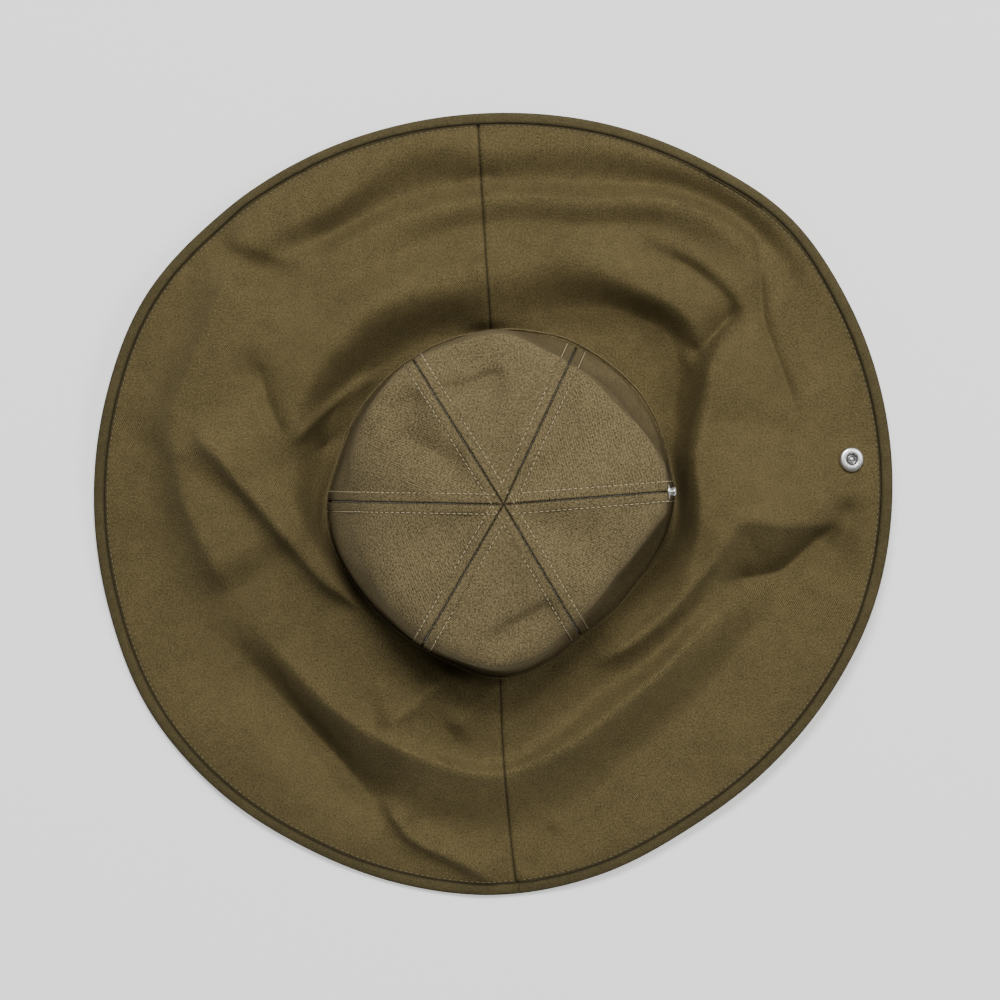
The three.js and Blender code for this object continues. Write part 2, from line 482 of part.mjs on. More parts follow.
// crossed: the side whose quads are cut along their other diagonal
function sweepClosed(sections, crossed = -1) {
  const sides = sections[0].length;
  const positions = [];
  sections.forEach((section) => section.forEach((p) => positions.push([p.x, p.y, p.z])));
  const faces = [];
  for (let i = 0; i < sections.length - 1; i += 1) {
    for (let k = 0; k < sides; k += 1) {
      const next = (k + 1) % sides;
      const [a, b, c, d] = [i * sides + k, i * sides + next, (i + 1) * sides + next, (i + 1) * sides + k];
      faces.push(...(k === crossed ? [[a, b, d], [b, c, d]] : [[a, b, c], [a, c, d]]));
    }
  }
  return { positions, faces, sides };
}

// Brim halves, from one seam round to the other
function seamAngle(seam, out) {
  return seam.atRing + (seam.atEdge - seam.atRing) * Math.max(0, out);
}

function halfAngle(from, to, share, out) {
  const start = seamAngle(from, out);
  const end = seamAngle(to, out) + (to.atRing < from.atRing ? 360 : 0);
  const middle = start + (end - start) * share;
  const radius = ringRadius(middle) + out * BRIM_WIDTH;
  const gap = SEAM_GAP / 2 / radius / RAD;
  return start + gap + (end - start - 2 * gap) * share;
}

function edgeFrame(from, to, share) {
  const angle = halfAngle(from, to, share, 1);
  const edge = roundTable(BRIM_SECTIONS, 'edgeOut', angle);
  const inner = edge - BINDING_WIDTH / BRIM_WIDTH;
  const tip = brimVector(angle, edge);
  const root = brimVector(angle, inner);
  const outward = new THREE.Vector3().subVectors(tip, root).normalize();
  const radial = new THREE.Vector3(Math.cos(angle * RAD), Math.sin(angle * RAD), 0);
  const around = new THREE.Vector3(0, 0, 1).cross(radial);
  const up = new THREE.Vector3().crossVectors(outward, around);
  return { tip, outward, up };
}

function framePoint(frame, along, height) {
  return frame.tip.clone().addScaledVector(frame.outward, along).addScaledVector(frame.up, height);
}

function brimRowOuts(angle) {
  const { outs } = brimStations(angle);
  const [ring, moat, crest, dip, ridge, foot, lip, edge] = outs;
  const inner = edge - (BINDING_WIDTH + SEAM_GAP) / BRIM_WIDTH;
  const between = (a, b, t) => a + (b - a) * t;
  return [-CROWN_WALL / BRIM_WIDTH, ring, moat, between(moat, crest, 0.35), between(moat, crest, 0.7),
    crest, between(crest, dip, 0.5), dip, ridge, between(ridge, foot, 0.5), foot, between(foot, lip, 0.5),
    lip, between(lip, inner, 0.5), inner];
}

function brimHalf(from, to) {
  const rows = [];
  const frames = [];
  for (let j = 0; j <= BRIM_STEPS; j += 1) {
    const share = j / BRIM_STEPS;
    frames.push(edgeFrame(from, to, share));
    const outs = brimRowOuts(halfAngle(from, to, share, 0.5));
    outs.forEach((out, i) => {
      if (!rows[i]) {
        rows.push([]);
      }
      const angle = halfAngle(from, to, share, out);
      rows[i].push(seatOnSnap(brimVector(angle, out), socketPlace, socketNormal));
    });
  }
  const count = rows.length;
  rows[count - 1] = frames.map((frame) => framePoint(frame, -BINDING_WIDTH - SEAM_GAP, 0));
  rows.push(frames.map((frame) => framePoint(frame, -BINDING_WALL - SEAM_GAP, 0)));
  const top = [];
  const bottom = [];
  rows.forEach((row, i) => {
    top.push([]);
    bottom.push([]);
    row.forEach((point, j) => {
      let normal = gridNormal(rows, i, j);
      if (i >= count - 1) {
        normal = frames[j].up;
      }
      if (i < 2) {
        normal = new THREE.Vector3(0, 0, 1);
      }
      top[i].push(point.clone().addScaledVector(normal, BRIM_WALL / 2));
      bottom[i].push(point.clone().addScaledVector(normal, -BRIM_WALL / 2));
    });
  });
  for (const row of bottom) {
    row.forEach((point) => point.setZ(Math.max(point.z, 0)));
  }
  return clothShell(top, bottom);
}

// Edge binding, folded over the edge of each brim half
function bindingHalf(from, to) {
  const slot = BRIM_WALL / 2 + SEAM_GAP;
  const thick = BINDING_HALF;
  const end = -BINDING_WALL;
  const round = 0.45 * BINDING_HALF;
  const outline = [[-BINDING_WIDTH, slot], [-BINDING_WIDTH, thick], [-round, thick], [0, thick - round],
    [0, round - thick], [-round, -thick], [-BINDING_WIDTH, -thick], [-BINDING_WIDTH, -slot],
    [end, -slot], [end, slot]];
  const sections = [];
  for (let j = 0; j <= BRIM_STEPS; j += 1) {
    const frame = edgeFrame(from, to, j / BRIM_STEPS);
    sections.push(outline.map(([along, height]) => framePoint(frame, along, height)));
  }
  const { positions, faces, sides } = sweepClosed(sections, outline.length - 1);
  const flat = outline.map(([along, height]) => new THREE.Vector2(along, height));
  const caps = THREE.ShapeUtils.triangulateShape(flat, []);
  const last = BRIM_STEPS * sides;
  for (const [a, b, c] of caps) {
    faces.push([a, b, c], [last + a, last + c, last + b]);
  }
  return closedMesh(positions, faces);
}

// Crown panels, from one seam round to the next
function crownPanel(from, to) {
  const rowShares = [...DOME_ROWS, ...WALL_ROWS.map((share) => 1 + share)];
  const rows = rowShares.map((row) => {
    const points = [];
    for (let j = 0; j <= PANEL_STEPS; j += 1) {
      const share = j / PANEL_STEPS;
      const angle = from + (to - from) * share;
      const point = crownPoint(angle, row);
      const nudge = (SEAM_GAP / 2) * (1 - 2 * share);
      point.x -= nudge * Math.sin(angle * RAD);
      point.y += nudge * Math.cos(angle * RAD);
      points.push(seatOnSnap(point, studPlace, studNormal));
    }
    return points;
  });
  const middle = (from + to) / 2;
  const tipRadius = SEAM_GAP / 2 / Math.sin(((to - from) / 2) * RAD);
  const [tipX, tipY] = polar(tipRadius, middle);
  rows[0] = rows[0].map((point) => new THREE.Vector3(tipX, tipY, point.z));
  const inner = rows.map((row, i) => row.map((point, j) => {
    let normal = gridNormal(rows, i, j);
    if (i === 0) {
      normal = new THREE.Vector3(0, 0, 1);
    }
    if (i === rows.length - 1) {
      normal = new THREE.Vector3(point.x, point.y, 0).normalize();
    }
    const seam = j === 0 ? from : to;
    if ((j === 0 || j === PANEL_STEPS) && i > 0) {
      const across = new THREE.Vector3(-Math.sin(seam * RAD), Math.cos(seam * RAD), 0);
      normal.addScaledVector(across, -normal.dot(across)).normalize();
    }
    return point.clone().addScaledVector(normal, -CROWN_WALL);
  }));
  return clothShell(rows, inner);
}

// Snap pieces, turned round +Z and then set square to the cloth
function lathe(profile) {
  const points = profile.map(([radius, height]) => new THREE.Vector2(radius, height));
  const geometry = new THREE.LatheGeometry(points, SNAP_SIDES);
  geometry.rotateX(Math.PI / 2);
  geometry.deleteAttribute('normal');
  geometry.deleteAttribute('uv');
  return dropFlatFaces(mergeVertices(geometry, 1e-4));
}

function setSquare(geometry, place, normal, height) {
  const turn = new THREE.Quaternion().setFromUnitVectors(new THREE.Vector3(0, 0, 1), normal);
  geometry.translate(0, 0, height);
  geometry.applyQuaternion(turn);
  geometry.translate(place.x, place.y, place.z);
  return geometry;
}

function socketProfile(below) {
  const outer = SOCKET_DIAMETER / 2;
  const mouth = SOCKET_MOUTH / 2;
  const post = SNAP_POST / 2;
  const base = SNAP_CLEARANCE;
  const top = base + SOCKET_HEIGHT;
  const floor = top - 0.7 * SOCKET_HEIGHT;
  return [[0, -below], [post, -below], [post, base], [outer, base], [outer, top - 0.25 * SOCKET_HEIGHT],
    [outer - 0.35 * SOCKET_HEIGHT, top], [mouth + 0.25 * SOCKET_HEIGHT, top],
    [mouth, top - 0.2 * SOCKET_HEIGHT], [mouth, floor], [0, floor]];
}

function backProfile() {
  const outer = SOCKET_DIAMETER / 2;
  const round = 0.3 * SNAP_BACK_HEIGHT;
  return [[0, -SNAP_BACK_HEIGHT], [outer - round, -SNAP_BACK_HEIGHT], [outer, round - SNAP_BACK_HEIGHT],
    [outer, 0], [0, 0]];
}

function studProfile(below) {
  const post = SNAP_POST / 2;
  const base = SNAP_CLEARANCE;
  const flange = base + STUD_FLANGE_HEIGHT;
  const knob = STUD_KNOB / 2;
  const top = base + STUD_HEIGHT;
  const waist = flange + 0.2 * (top - flange);
  const wide = flange + 0.6 * (top - flange);
  return [[0, -below], [post, -below], [post, base], [STUD_FLANGE / 2, base], [STUD_FLANGE / 2, flange],
    [0.8 * knob, flange], [0.76 * knob, waist], [knob, wide], [0.8 * knob, top - 0.1 * knob],
    [0.5 * knob, top], [0, top]];
}

const holeRadius = SNAP_POST / 2 + SNAP_CLEARANCE;

function shankHole(place, normal, length) {
  const hole = lathe([[0, -length], [holeRadius, -length], [holeRadius, length], [0, length]]);
  return setSquare(hole, place, normal, 0);
}

// Cutting of the shank holes
const wasm = await Module();
wasm.setup();

function toSolid(geometry) {
  const position = geometry.getAttribute('position');
  return new wasm.Manifold(new wasm.Mesh({
    numProp: 3,
    vertProperties: new Float32Array(position.array),
    triVerts: new Uint32Array(geometry.getIndex().array),
  }));
}

function cutFrom(geometry, tool) {
  const mesh = toSolid(geometry).subtract(toSolid(tool)).getMesh();
  const result = new THREE.BufferGeometry();
  result.setAttribute('position', new THREE.Float32BufferAttribute(mesh.vertProperties, 3));
  result.setIndex(Array.from(mesh.triVerts));
  return result;
}

// Assembly
const group = new THREE.Group();
group.name = 'canvas_hat';

const LOOKS = {
  crownCloth: { color: 0x78694a, roughness: 0.92, metalness: 0 },
  brimCloth: { color: 0x685a3c, roughness: 0.92, metalness: 0 },
  bindingCloth: { color: 0x473c20, roughness: 0.9, metalness: 0 },
  nickel: { color: 0xd9d9d6, roughness: 0.22, metalness: 1 },
};

function addPiece(name, geometry, look) {
  const mesh = new THREE.Mesh(geometry, new THREE.MeshStandardMaterial(LOOKS[look]));
  mesh.name = name;
  group.add(mesh);
}

const socketTop = socketPlace.clone().addScaledVector(socketNormal, BRIM_WALL / 2);
const socketUnder = socketPlace.clone().addScaledVector(socketNormal, -BRIM_WALL / 2 - SNAP_CLEARANCE);
const studUnder = studPlace.clone().addScaledVector(studNormal, -CROWN_WALL - SNAP_CLEARANCE);
const socketHole = shankHole(socketPlace, socketNormal, SOCKET_HEIGHT + BRIM_WALL);
const studHole = shankHole(studPlace, studNormal, STUD_HEIGHT + CROWN_WALL);

CROWN_SEAMS.forEach((from, i) => {
  const next = CROWN_SEAMS[(i + 1) % CROWN_SEAMS.length];
  const to = next > from ? next : next + 360;
  let panel = crownPanel(from, to);
  const touchesStud = i === 0 || i === CROWN_SEAMS.length - 1;
  if (touchesStud) {
    panel = cutFrom(panel, studHole);
  }
  addPiece(`crown_panel_${i + 1}`, panel, 'crownCloth');
});

const [backSeam, frontSeam] = BRIM_SEAMS;
addPiece('brim_left', brimHalf(backSeam, frontSeam), 'brimCloth');
addPiece('brim_right', cutFrom(brimHalf(frontSeam, backSeam), socketHole), 'brimCloth');
addPiece('edge_binding_left', bindingHalf(backSeam, frontSeam), 'bindingCloth');
addPiece('edge_binding_right', bindingHalf(frontSeam, backSeam), 'bindingCloth');
addPiece('snap_socket', setSquare(lathe(socketProfile(BRIM_WALL)), socketTop, socketNormal, 0), 'nickel');
addPiece('snap_socket_back', setSquare(lathe(backProfile()), socketUnder, socketNormal, 0), 'nickel');
addPiece('snap_stud', setSquare(lathe(studProfile(CROWN_WALL)), studPlace, studNormal, 0), 'nickel');
addPiece('snap_stud_back', setSquare(lathe(backProfile()), studUnder, studNormal, 0), 'nickel');

// The part stands on z = 0 with its box centred on the z axis.
group.updateMatrixWorld(true);
const box = new THREE.Box3().setFromObject(group, true);
const centre = box.getCenter(new THREE.Vector3());
group.children.forEach((mesh) => mesh.geometry.translate(-centre.x, -centre.y, -box.min.z));

export default group;
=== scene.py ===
# %% [markdown]
# # A six-panel canvas hat, lying on a pale floor
# The hat is soft cloth that was put down and has settled: the brim ripples, a ring-shaped trough runs round
# the crown, and a few sharp creases cross the brim. The solids of the hat are loaded first, as a frame that
# every finer piece has to stay with.

# %% Load the frame
import bpy
import math
import numpy as np
from mathutils import Matrix, Vector


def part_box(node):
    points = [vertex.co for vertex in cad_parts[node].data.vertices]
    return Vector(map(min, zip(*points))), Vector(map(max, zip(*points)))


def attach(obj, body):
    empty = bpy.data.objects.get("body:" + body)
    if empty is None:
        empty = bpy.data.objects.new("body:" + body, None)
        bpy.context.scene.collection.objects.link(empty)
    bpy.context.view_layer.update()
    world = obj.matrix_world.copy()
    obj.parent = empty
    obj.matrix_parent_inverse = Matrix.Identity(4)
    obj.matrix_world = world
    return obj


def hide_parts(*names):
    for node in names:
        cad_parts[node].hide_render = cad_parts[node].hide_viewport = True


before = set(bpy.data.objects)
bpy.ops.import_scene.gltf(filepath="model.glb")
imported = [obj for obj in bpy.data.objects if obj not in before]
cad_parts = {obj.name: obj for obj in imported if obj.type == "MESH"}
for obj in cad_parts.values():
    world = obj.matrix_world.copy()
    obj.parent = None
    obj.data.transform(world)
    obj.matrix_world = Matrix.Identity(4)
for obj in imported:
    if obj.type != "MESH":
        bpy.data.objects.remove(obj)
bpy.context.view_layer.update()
MM = 0.001
print("solids:", sorted(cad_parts))

# %% [markdown]
# ## Camera
# The picture looks straight down, so the hat is seen as a plan, with its back seam at the top of the frame.
# A long lens from well above keeps the crown from swelling towards the lens.

# %% Camera
PLAN_WIDTH = 0.530            # metres across the frame at the level of the brim
BRIM_LEVEL = 0.012
CAMERA_HEIGHT = 5.0
CAMERA_PLACE = (0.0040, 0.0025)
SENSOR_WIDTH = 36.0

camera_data = bpy.data.cameras.new("plan_camera")
camera_data.sensor_width = SENSOR_WIDTH
camera_data.lens = SENSOR_WIDTH * (CAMERA_HEIGHT - BRIM_LEVEL) / PLAN_WIDTH
camera = bpy.data.objects.new("plan_camera", camera_data)
bpy.context.scene.collection.objects.link(camera)
camera.location = (*CAMERA_PLACE, CAMERA_HEIGHT)
bpy.context.scene.camera = camera
print("lens:", round(camera_data.lens, 1), "mm")

# %% [markdown]
# ## Floor and light
# A pale floor and large soft lamps, as on a product table. The main lamp hangs above the back of the hat,
# so slopes that face the front fall into soft shade, which is what draws the folds. A weaker lamp at the
# right lightens the slopes there, and one near the camera keeps the deepest folds from going black.
# The floor is a single plane, a hair below the hat, so that the two never share a surface.

# %% Floor
def plain_select(*objects):
    bpy.ops.object.select_all(action="DESELECT")
    for item in objects:
        item.select_set(True)
    bpy.context.view_layer.objects.active = objects[0]


FLOOR_SIZE = 6.0
FLOOR_DROP = 0.0002

bpy.ops.object.select_all(action="DESELECT")
bpy.ops.mesh.primitive_plane_add(size=FLOOR_SIZE, location=(0, 0, -FLOOR_DROP))
floor = bpy.context.object
floor.name = "floor"
print("floor:", FLOOR_SIZE, "m across")

# %% Lamps
LAMPS = [
    # name, place, size, watts
    ("back_lamp", (0.05, 1.9, 3.5), 1.3, 135.0),
    ("side_lamp", (2.2, 0.9, 2.6), 1.6, 40.0),
    ("top_lamp", (0.1, 0.5, 4.5), 2.4, 15.0),
]
LAMP_TARGET = (0.0, 0.0, 0.04)
ROOM_LIGHT = 0.15


def aim(item, target):
    direction = Vector(target) - item.location
    item.rotation_euler = direction.to_track_quat("-Z", "Y").to_euler()


for name, place, size, watts in LAMPS:
    lamp_data = bpy.data.lights.new(name, "AREA")
    lamp_data.shape = "DISK"
    lamp_data.size = size
    lamp_data.energy = watts
    lamp = bpy.data.objects.new(name, lamp_data)
    bpy.context.scene.collection.objects.link(lamp)
    lamp.location = place
    aim(lamp, LAMP_TARGET)
    print(name, place, watts, "W")

world = bpy.data.worlds.new("soft_room")
world.use_nodes = True
world.node_tree.nodes["Background"].inputs["Color"].default_value = (1.0, 1.0, 1.0, 1.0)
world.node_tree.nodes["Background"].inputs["Strength"].default_value = ROOM_LIGHT
bpy.context.scene.world = world

# %% [markdown]
# ## Sizes and section tables
# The hat's form is held the way a pattern cutter would note it: named sizes in millimetres, then one row for
# each angle round the crown that says how high the brim's trough, crest, dip, ridge and foot stand there,
# then a list of the creases. Places and heights are shares of the named sizes: "out" runs from the base seam
# (0) to the plain width of the brim (1), and a rise of 1 is BRIM_RISE. A sculpted mesh could hold the same
# form, but a table can be read and changed, one fold at a time.

# %% Sizes
HEAD_RADIUS = 92.0
CROWN_HEIGHT = 80.0
CROWN_WALL = 2.0
BRIM_WIDTH = 120.0
BRIM_RISE = 50.0
BRIM_WALL = 1.6
BINDING_WIDTH = 6.3
BINDING_WALL = 1.0
SEAM_GAP = 0.3
JOIN_GAP = 0.04               # the sewn pieces of cloth lie against each other
BINDING_HALF = BRIM_WALL / 2 + SEAM_GAP + BINDING_WALL
CROWN_SEAMS = [4.5, 65.0, 122.0, 179.0, 240.0, 300.5]
BRIM_SEAMS = [(94.2, 93.8), (268.8, 272.2)]       # angle at the crown, angle at the edge

# %% Brim sections
BRIM_COLUMNS = ("angle ring seat moat_out moat_rise crest_out crest_rise dip_out dip_rise "
                "ridge_out ridge_rise foot_out foot_rise lip_out lip_rise edge_out edge_rise").split()
BRIM_SECTIONS = [
    (0, 0.98, 0.20, 0.02, 0.20, 0.125, 0.66, 0.30, 0.68, 0.50, 0.60, 0.75, 0.46, 0.85, 0.43, 0.963, 0.42),
    (15, 0.98, 0.18, 0.02, 0.19, 0.14, 0.71, 0.42, 0.64, 0.62, 0.56, 0.80, 0.48, 0.90, 0.46, 0.985, 0.46),
    (30, 0.99, 0.17, 0.12, 0.22, 0.31, 0.74, 0.46, 0.70, 0.62, 0.62, 0.80, 0.52, 0.92, 0.52, 1.003, 0.51),
    (45, 1.00, 0.16, 0.27, 0.32, 0.40, 0.70, 0.64, 0.579, 0.78, 0.681, 0.87, 0.532, 0.96, 0.664, 1.018, 0.61),
    (60, 1.00, 0.15, 0.22, 0.28, 0.365, 0.66, 0.62, 0.465, 0.75, 0.635, 0.83, 0.449, 0.93, 0.597,
     0.987, 0.55),
    (75, 1.00, 0.14, 0.12, 0.23, 0.35, 0.63, 0.50, 0.516, 0.61, 0.634, 0.71, 0.425, 0.86, 0.59, 0.969, 0.52),
    (90, 1.00, 0.14, 0.03, 0.17, 0.26, 0.53, 0.47, 0.449, 0.58, 0.551, 0.66, 0.388, 0.80, 0.537, 0.96, 0.46),
    (105, 0.99, 0.14, 0.01, 0.14, 0.25, 0.68, 0.45, 0.469, 0.56, 0.571, 0.67, 0.371, 0.86, 0.602,
     0.973, 0.50),
    (120, 0.98, 0.15, 0.04, 0.16, 0.29, 0.84, 0.46, 0.58, 0.58, 0.57, 0.66, 0.398, 0.78, 0.645, 1.006, 0.42),
    (135, 0.98, 0.16, 0.06, 0.18, 0.28, 0.80, 0.44, 0.62, 0.58, 0.54, 0.72, 0.406, 0.85, 0.472, 1.038, 0.36),
    (150, 0.98, 0.17, 0.10, 0.21, 0.27, 0.70, 0.43, 0.60, 0.60, 0.50, 0.76, 0.38, 0.88, 0.36, 1.077, 0.32),
    (165, 0.98, 0.18, 0.06, 0.22, 0.25, 0.54, 0.40, 0.52, 0.58, 0.46, 0.78, 0.29, 0.90, 0.28, 1.068, 0.24),
    (180, 1.01, 0.20, 0.03, 0.18, 0.16, 0.50, 0.35, 0.46, 0.56, 0.36, 0.74, 0.21, 0.88, 0.18, 1.037, 0.12),
    (195, 1.00, 0.28, 0.03, 0.30, 0.08, 0.42, 0.30, 0.40, 0.48, 0.32, 0.70, 0.18, 0.86, 0.12, 1.04, 0.06),
    (210, 0.96, 0.34, 0.03, 0.37, 0.09, 0.42, 0.28, 0.42, 0.445, 0.38, 0.61, 0.12, 0.89, 0.08, 1.078, 0.02),
    (225, 0.94, 0.38, 0.03, 0.42, 0.09, 0.43, 0.30, 0.47, 0.445, 0.49, 0.60, 0.09, 0.81, 0.19, 1.068, 0.06),
    (240, 0.94, 0.41, 0.03, 0.44, 0.14, 0.45, 0.34, 0.43, 0.445, 0.48, 0.67, 0.09, 0.83, 0.18, 1.033, 0.06),
    (255, 0.96, 0.41, 0.03, 0.43, 0.20, 0.45, 0.38, 0.40, 0.445, 0.44, 0.75, 0.08, 0.84, 0.09, 1.004, 0.02),
    (270, 0.99, 0.40, 0.03, 0.41, 0.22, 0.45, 0.37, 0.37, 0.43, 0.42, 0.71, 0.12, 0.81, 0.10, 0.968, 0.02),
    (285, 0.935, 0.41, 0.03, 0.42, 0.10, 0.44, 0.29, 0.32, 0.38, 0.43, 0.64, 0.15, 0.84, 0.16, 0.975, 0.11),
    (300, 0.87, 0.40, 0.03, 0.41, 0.11, 0.44, 0.26, 0.32, 0.36, 0.45, 0.58, 0.16, 0.80, 0.21, 0.985, 0.15),
    (315, 0.87, 0.35, 0.03, 0.36, 0.16, 0.46, 0.27, 0.32, 0.35, 0.46, 0.56, 0.19, 0.80, 0.27, 0.985, 0.21),
    (330, 0.88, 0.22, 0.02, 0.23, 0.18, 0.50, 0.29, 0.36, 0.38, 0.46, 0.56, 0.25, 0.80, 0.33, 0.994, 0.28),
    (345, 0.935, 0.20, 0.03, 0.18, 0.16, 0.62, 0.28, 0.50, 0.46, 0.46, 0.62, 0.339, 0.80, 0.389, 0.979, 0.36),
]
print("brim sections:", len(BRIM_SECTIONS))

# %% Brim creases
# name, rise, width on the left of the path, width on its right, softness,
# path of (angle, share of the brim's width)
BRIM_FOLDS = [
    ("left_crease", 0.26, 0.14, 0.030, 0.008,
     [(165.0, 0.69), (168, 0.60), (171, 0.50), (175, 0.40), (180, 0.30), (186, 0.22), (193, 0.15),
      (201, 0.11), (211, 0.065), (223, 0.035)]),
    ("left_shade", -0.12, 0.08, 0.05, 0.02,
     [(148, 0.60), (155, 0.47), (160.5, 0.38), (165, 0.30), (170, 0.225), (178, 0.15)]),
    ("left_faint", -0.06, 0.025, 0.03, 0.015, [(149, 0.52), (155, 0.40), (160, 0.31), (164, 0.23)]),
    ("left_step_upper", 0.34, 0.26, 0.08, 0.015,
     [(136, 0.83), (143, 0.79), (151, 0.755), (160, 0.75), (168, 0.765), (172, 0.79)]),
    ("left_step_lower", 0.3, 0.26, 0.075, 0.015,
     [(165, 0.77), (171, 0.70), (179, 0.63), (187, 0.56), (194, 0.52), (199, 0.50)]),
    ("front_step", 0.16, 0.06, 0.06, 0.01,
     [(206, 0.475), (214, 0.45), (228, 0.445), (242, 0.445), (256, 0.44), (268, 0.43), (280, 0.395),
      (290, 0.37), (303, 0.355), (316, 0.345), (328, 0.36), (340, 0.43)]),
    ("front_left_trough", -0.10, 0.07, 0.10, 0.03,
     [(209, 0.53), (220, 0.53), (232, 0.58), (242, 0.71), (249, 0.83)]),
    ("inner_step", 0.18, 0.05, 0.07, 0.012,
     [(296, 0.12), (307, 0.155), (316, 0.165), (327, 0.195), (338, 0.215), (346, 0.25), (353, 0.28)]),
    ("corner_right", 0.11, 0.030, 0.14, 0.008,
     [(349, 0.06), (359, 0.065), (8.7, 0.075), (19, 0.125), (27.3, 0.22), (32.6, 0.32), (37.1, 0.45),
      (40.3, 0.60)]),
    ("corner_groove", -0.12, 0.08, 0.05, 0.01,
     [(22, 0.03), (29, 0.09), (32.6, 0.145), (35.5, 0.245), (37.7, 0.39), (39.4, 0.53), (40.2, 0.60)]),
    ("corner_notch", -0.17, 0.06, 0.03, 0.015,
     [(37.6, 0.26), (38.4, 0.35), (39.0, 0.44), (39.5, 0.53), (40.0, 0.61)]),
    ("corner_left", 0.15, 0.040, 0.10, 0.010,
     [(38.5, 0.60), (43, 0.615), (48, 0.62), (53, 0.61), (58, 0.59), (64, 0.56)]),
    ("corner_furrow", -0.08, 0.030, 0.03, 0.010,
     [(38.5, 0.585), (43, 0.58), (47, 0.57), (53.6, 0.55), (58, 0.53)]),
    ("corner_crease", -0.12, 0.030, 0.05, 0.010,
     [(49, 0.87), (46, 0.835), (42.5, 0.77), (39, 0.70), (35, 0.64), (30, 0.615), (22, 0.60),
      (15, 0.59)]),
    ("right_streak", -0.08, 0.08, 0.06, 0.03,
     [(23, 0.17), (21, 0.26), (18.5, 0.38), (15.5, 0.50), (13, 0.60)]),
    ("right_patch_ridge", 0.22, 0.16, 0.12, 0.008,
     [(343, 0.18), (350, 0.25), (354.8, 0.29), (356.2, 0.34), (355.9, 0.49), (356.6, 0.66),
      (357.5, 0.80)]),
    ("right_patch_foot", -0.24, 0.08, 0.10, 0.010,
     [(340, 0.30), (343.5, 0.42), (346.5, 0.53), (350, 0.585), (353.5, 0.64), (358, 0.74)]),
    ("right_hollow", -0.12, 0.05, 0.06, 0.03, [(345, 0.74), (350, 0.75), (356, 0.755), (2, 0.765)]),
    ("back_left_crease", 0.12, 0.04, 0.14, 0.02,
     [(126, 0.61), (131, 0.68), (133, 0.78), (134.5, 0.86), (136, 0.98)]),
    ("back_left_nick", -0.03, 0.02, 0.02, 0.01, [(142, 0.88), (142.6, 0.94), (143, 1.02)]),
    ("back_seam_dent", -0.04, 0.025, 0.03, 0.015, [(90, 0.69), (95, 0.68), (100, 0.655)]),
    ("back_seam_swell", 0.12, 0.07, 0.07, 0.03,
     [(95, -0.12), (95, 0.02), (95, 0.12), (95, 0.22), (95, 0.36)]),
    ("floor_left_wrinkle", -0.10, 0.030, 0.030, 0.010,
     [(52, 0.27), (48.3, 0.21), (43.8, 0.09), (33, 0.01)]),
    ("floor_right_wrinkle", -0.10, 0.045, 0.045, 0.015,
     [(48, 0.28), (52, 0.24), (57, 0.135), (68, 0.03), (80, 0.02)]),
    ("left_floor_ridge", 0.12, 0.030, 0.030, 0.008,
     [(132, 0.05), (144, 0.095), (155, 0.155), (165, 0.225)]),
    ("left_floor_crease", -0.09, 0.03, 0.03, 0.01, [(153, 0.0), (159, 0.05), (165, 0.11)]),
    ("front_facet", 0.26, 0.1, 0.08, 0.015,
     [(254, -0.04), (252, 0.04), (249, 0.13), (246, 0.23), (243, 0.33), (239, 0.42)]),
    ("front_facet_small", 0.11, 0.08, 0.05, 0.015,
     [(271, -0.03), (267, 0.06), (263, 0.14), (259.5, 0.21), (256, 0.30)]),
    ("front_band", -0.05, 0.06, 0.03, 0.012, [(248, 0.37), (258, 0.40), (270, 0.39), (281, 0.355)]),
    ("front_crease", 0.16, 0.10, 0.03, 0.008,
     [(247, 0.66), (253, 0.77), (257, 0.81), (262, 0.83), (266, 0.87), (270, 0.93)]),
    ("front_faint", -0.05, 0.03, 0.05, 0.015, [(273.5, 0.89), (276, 0.80), (279.5, 0.69)]),
]
FOLD_TAPER = 0.22
SEAM_FADE = 0.06
print("creases:", len(BRIM_FOLDS))

# %% Crown sections and dents
CROWN_COLUMNS = "angle shoulder shoulder_rise wall".split()
CROWN_SECTIONS = [
    (0, 0.925, 0.80, 0.940), (15, 0.930, 0.81, 0.945), (30, 0.890, 0.79, 0.905),
    (45, 0.865, 0.78, 0.885), (60, 0.870, 0.81, 0.900), (75, 0.910, 0.85, 0.935),
    (90, 0.975, 0.86, 0.995), (105, 0.965, 0.84, 0.985), (120, 0.960, 0.84, 0.980),
    (135, 0.950, 0.84, 0.965), (150, 0.930, 0.83, 0.950), (165, 0.895, 0.80, 0.955),
    (180, 0.850, 0.76, 0.980), (195, 0.830, 0.76, 0.970), (210, 0.835, 0.78, 0.930),
    (225, 0.865, 0.81, 0.905), (240, 0.895, 0.84, 0.915), (255, 0.915, 0.83, 0.930),
    (270, 0.930, 0.80, 0.945), (285, 0.875, 0.78, 0.890), (300, 0.790, 0.79, 0.805),
    (315, 0.755, 0.81, 0.770), (330, 0.765, 0.82, 0.780), (345, 0.825, 0.82, 0.840),
]
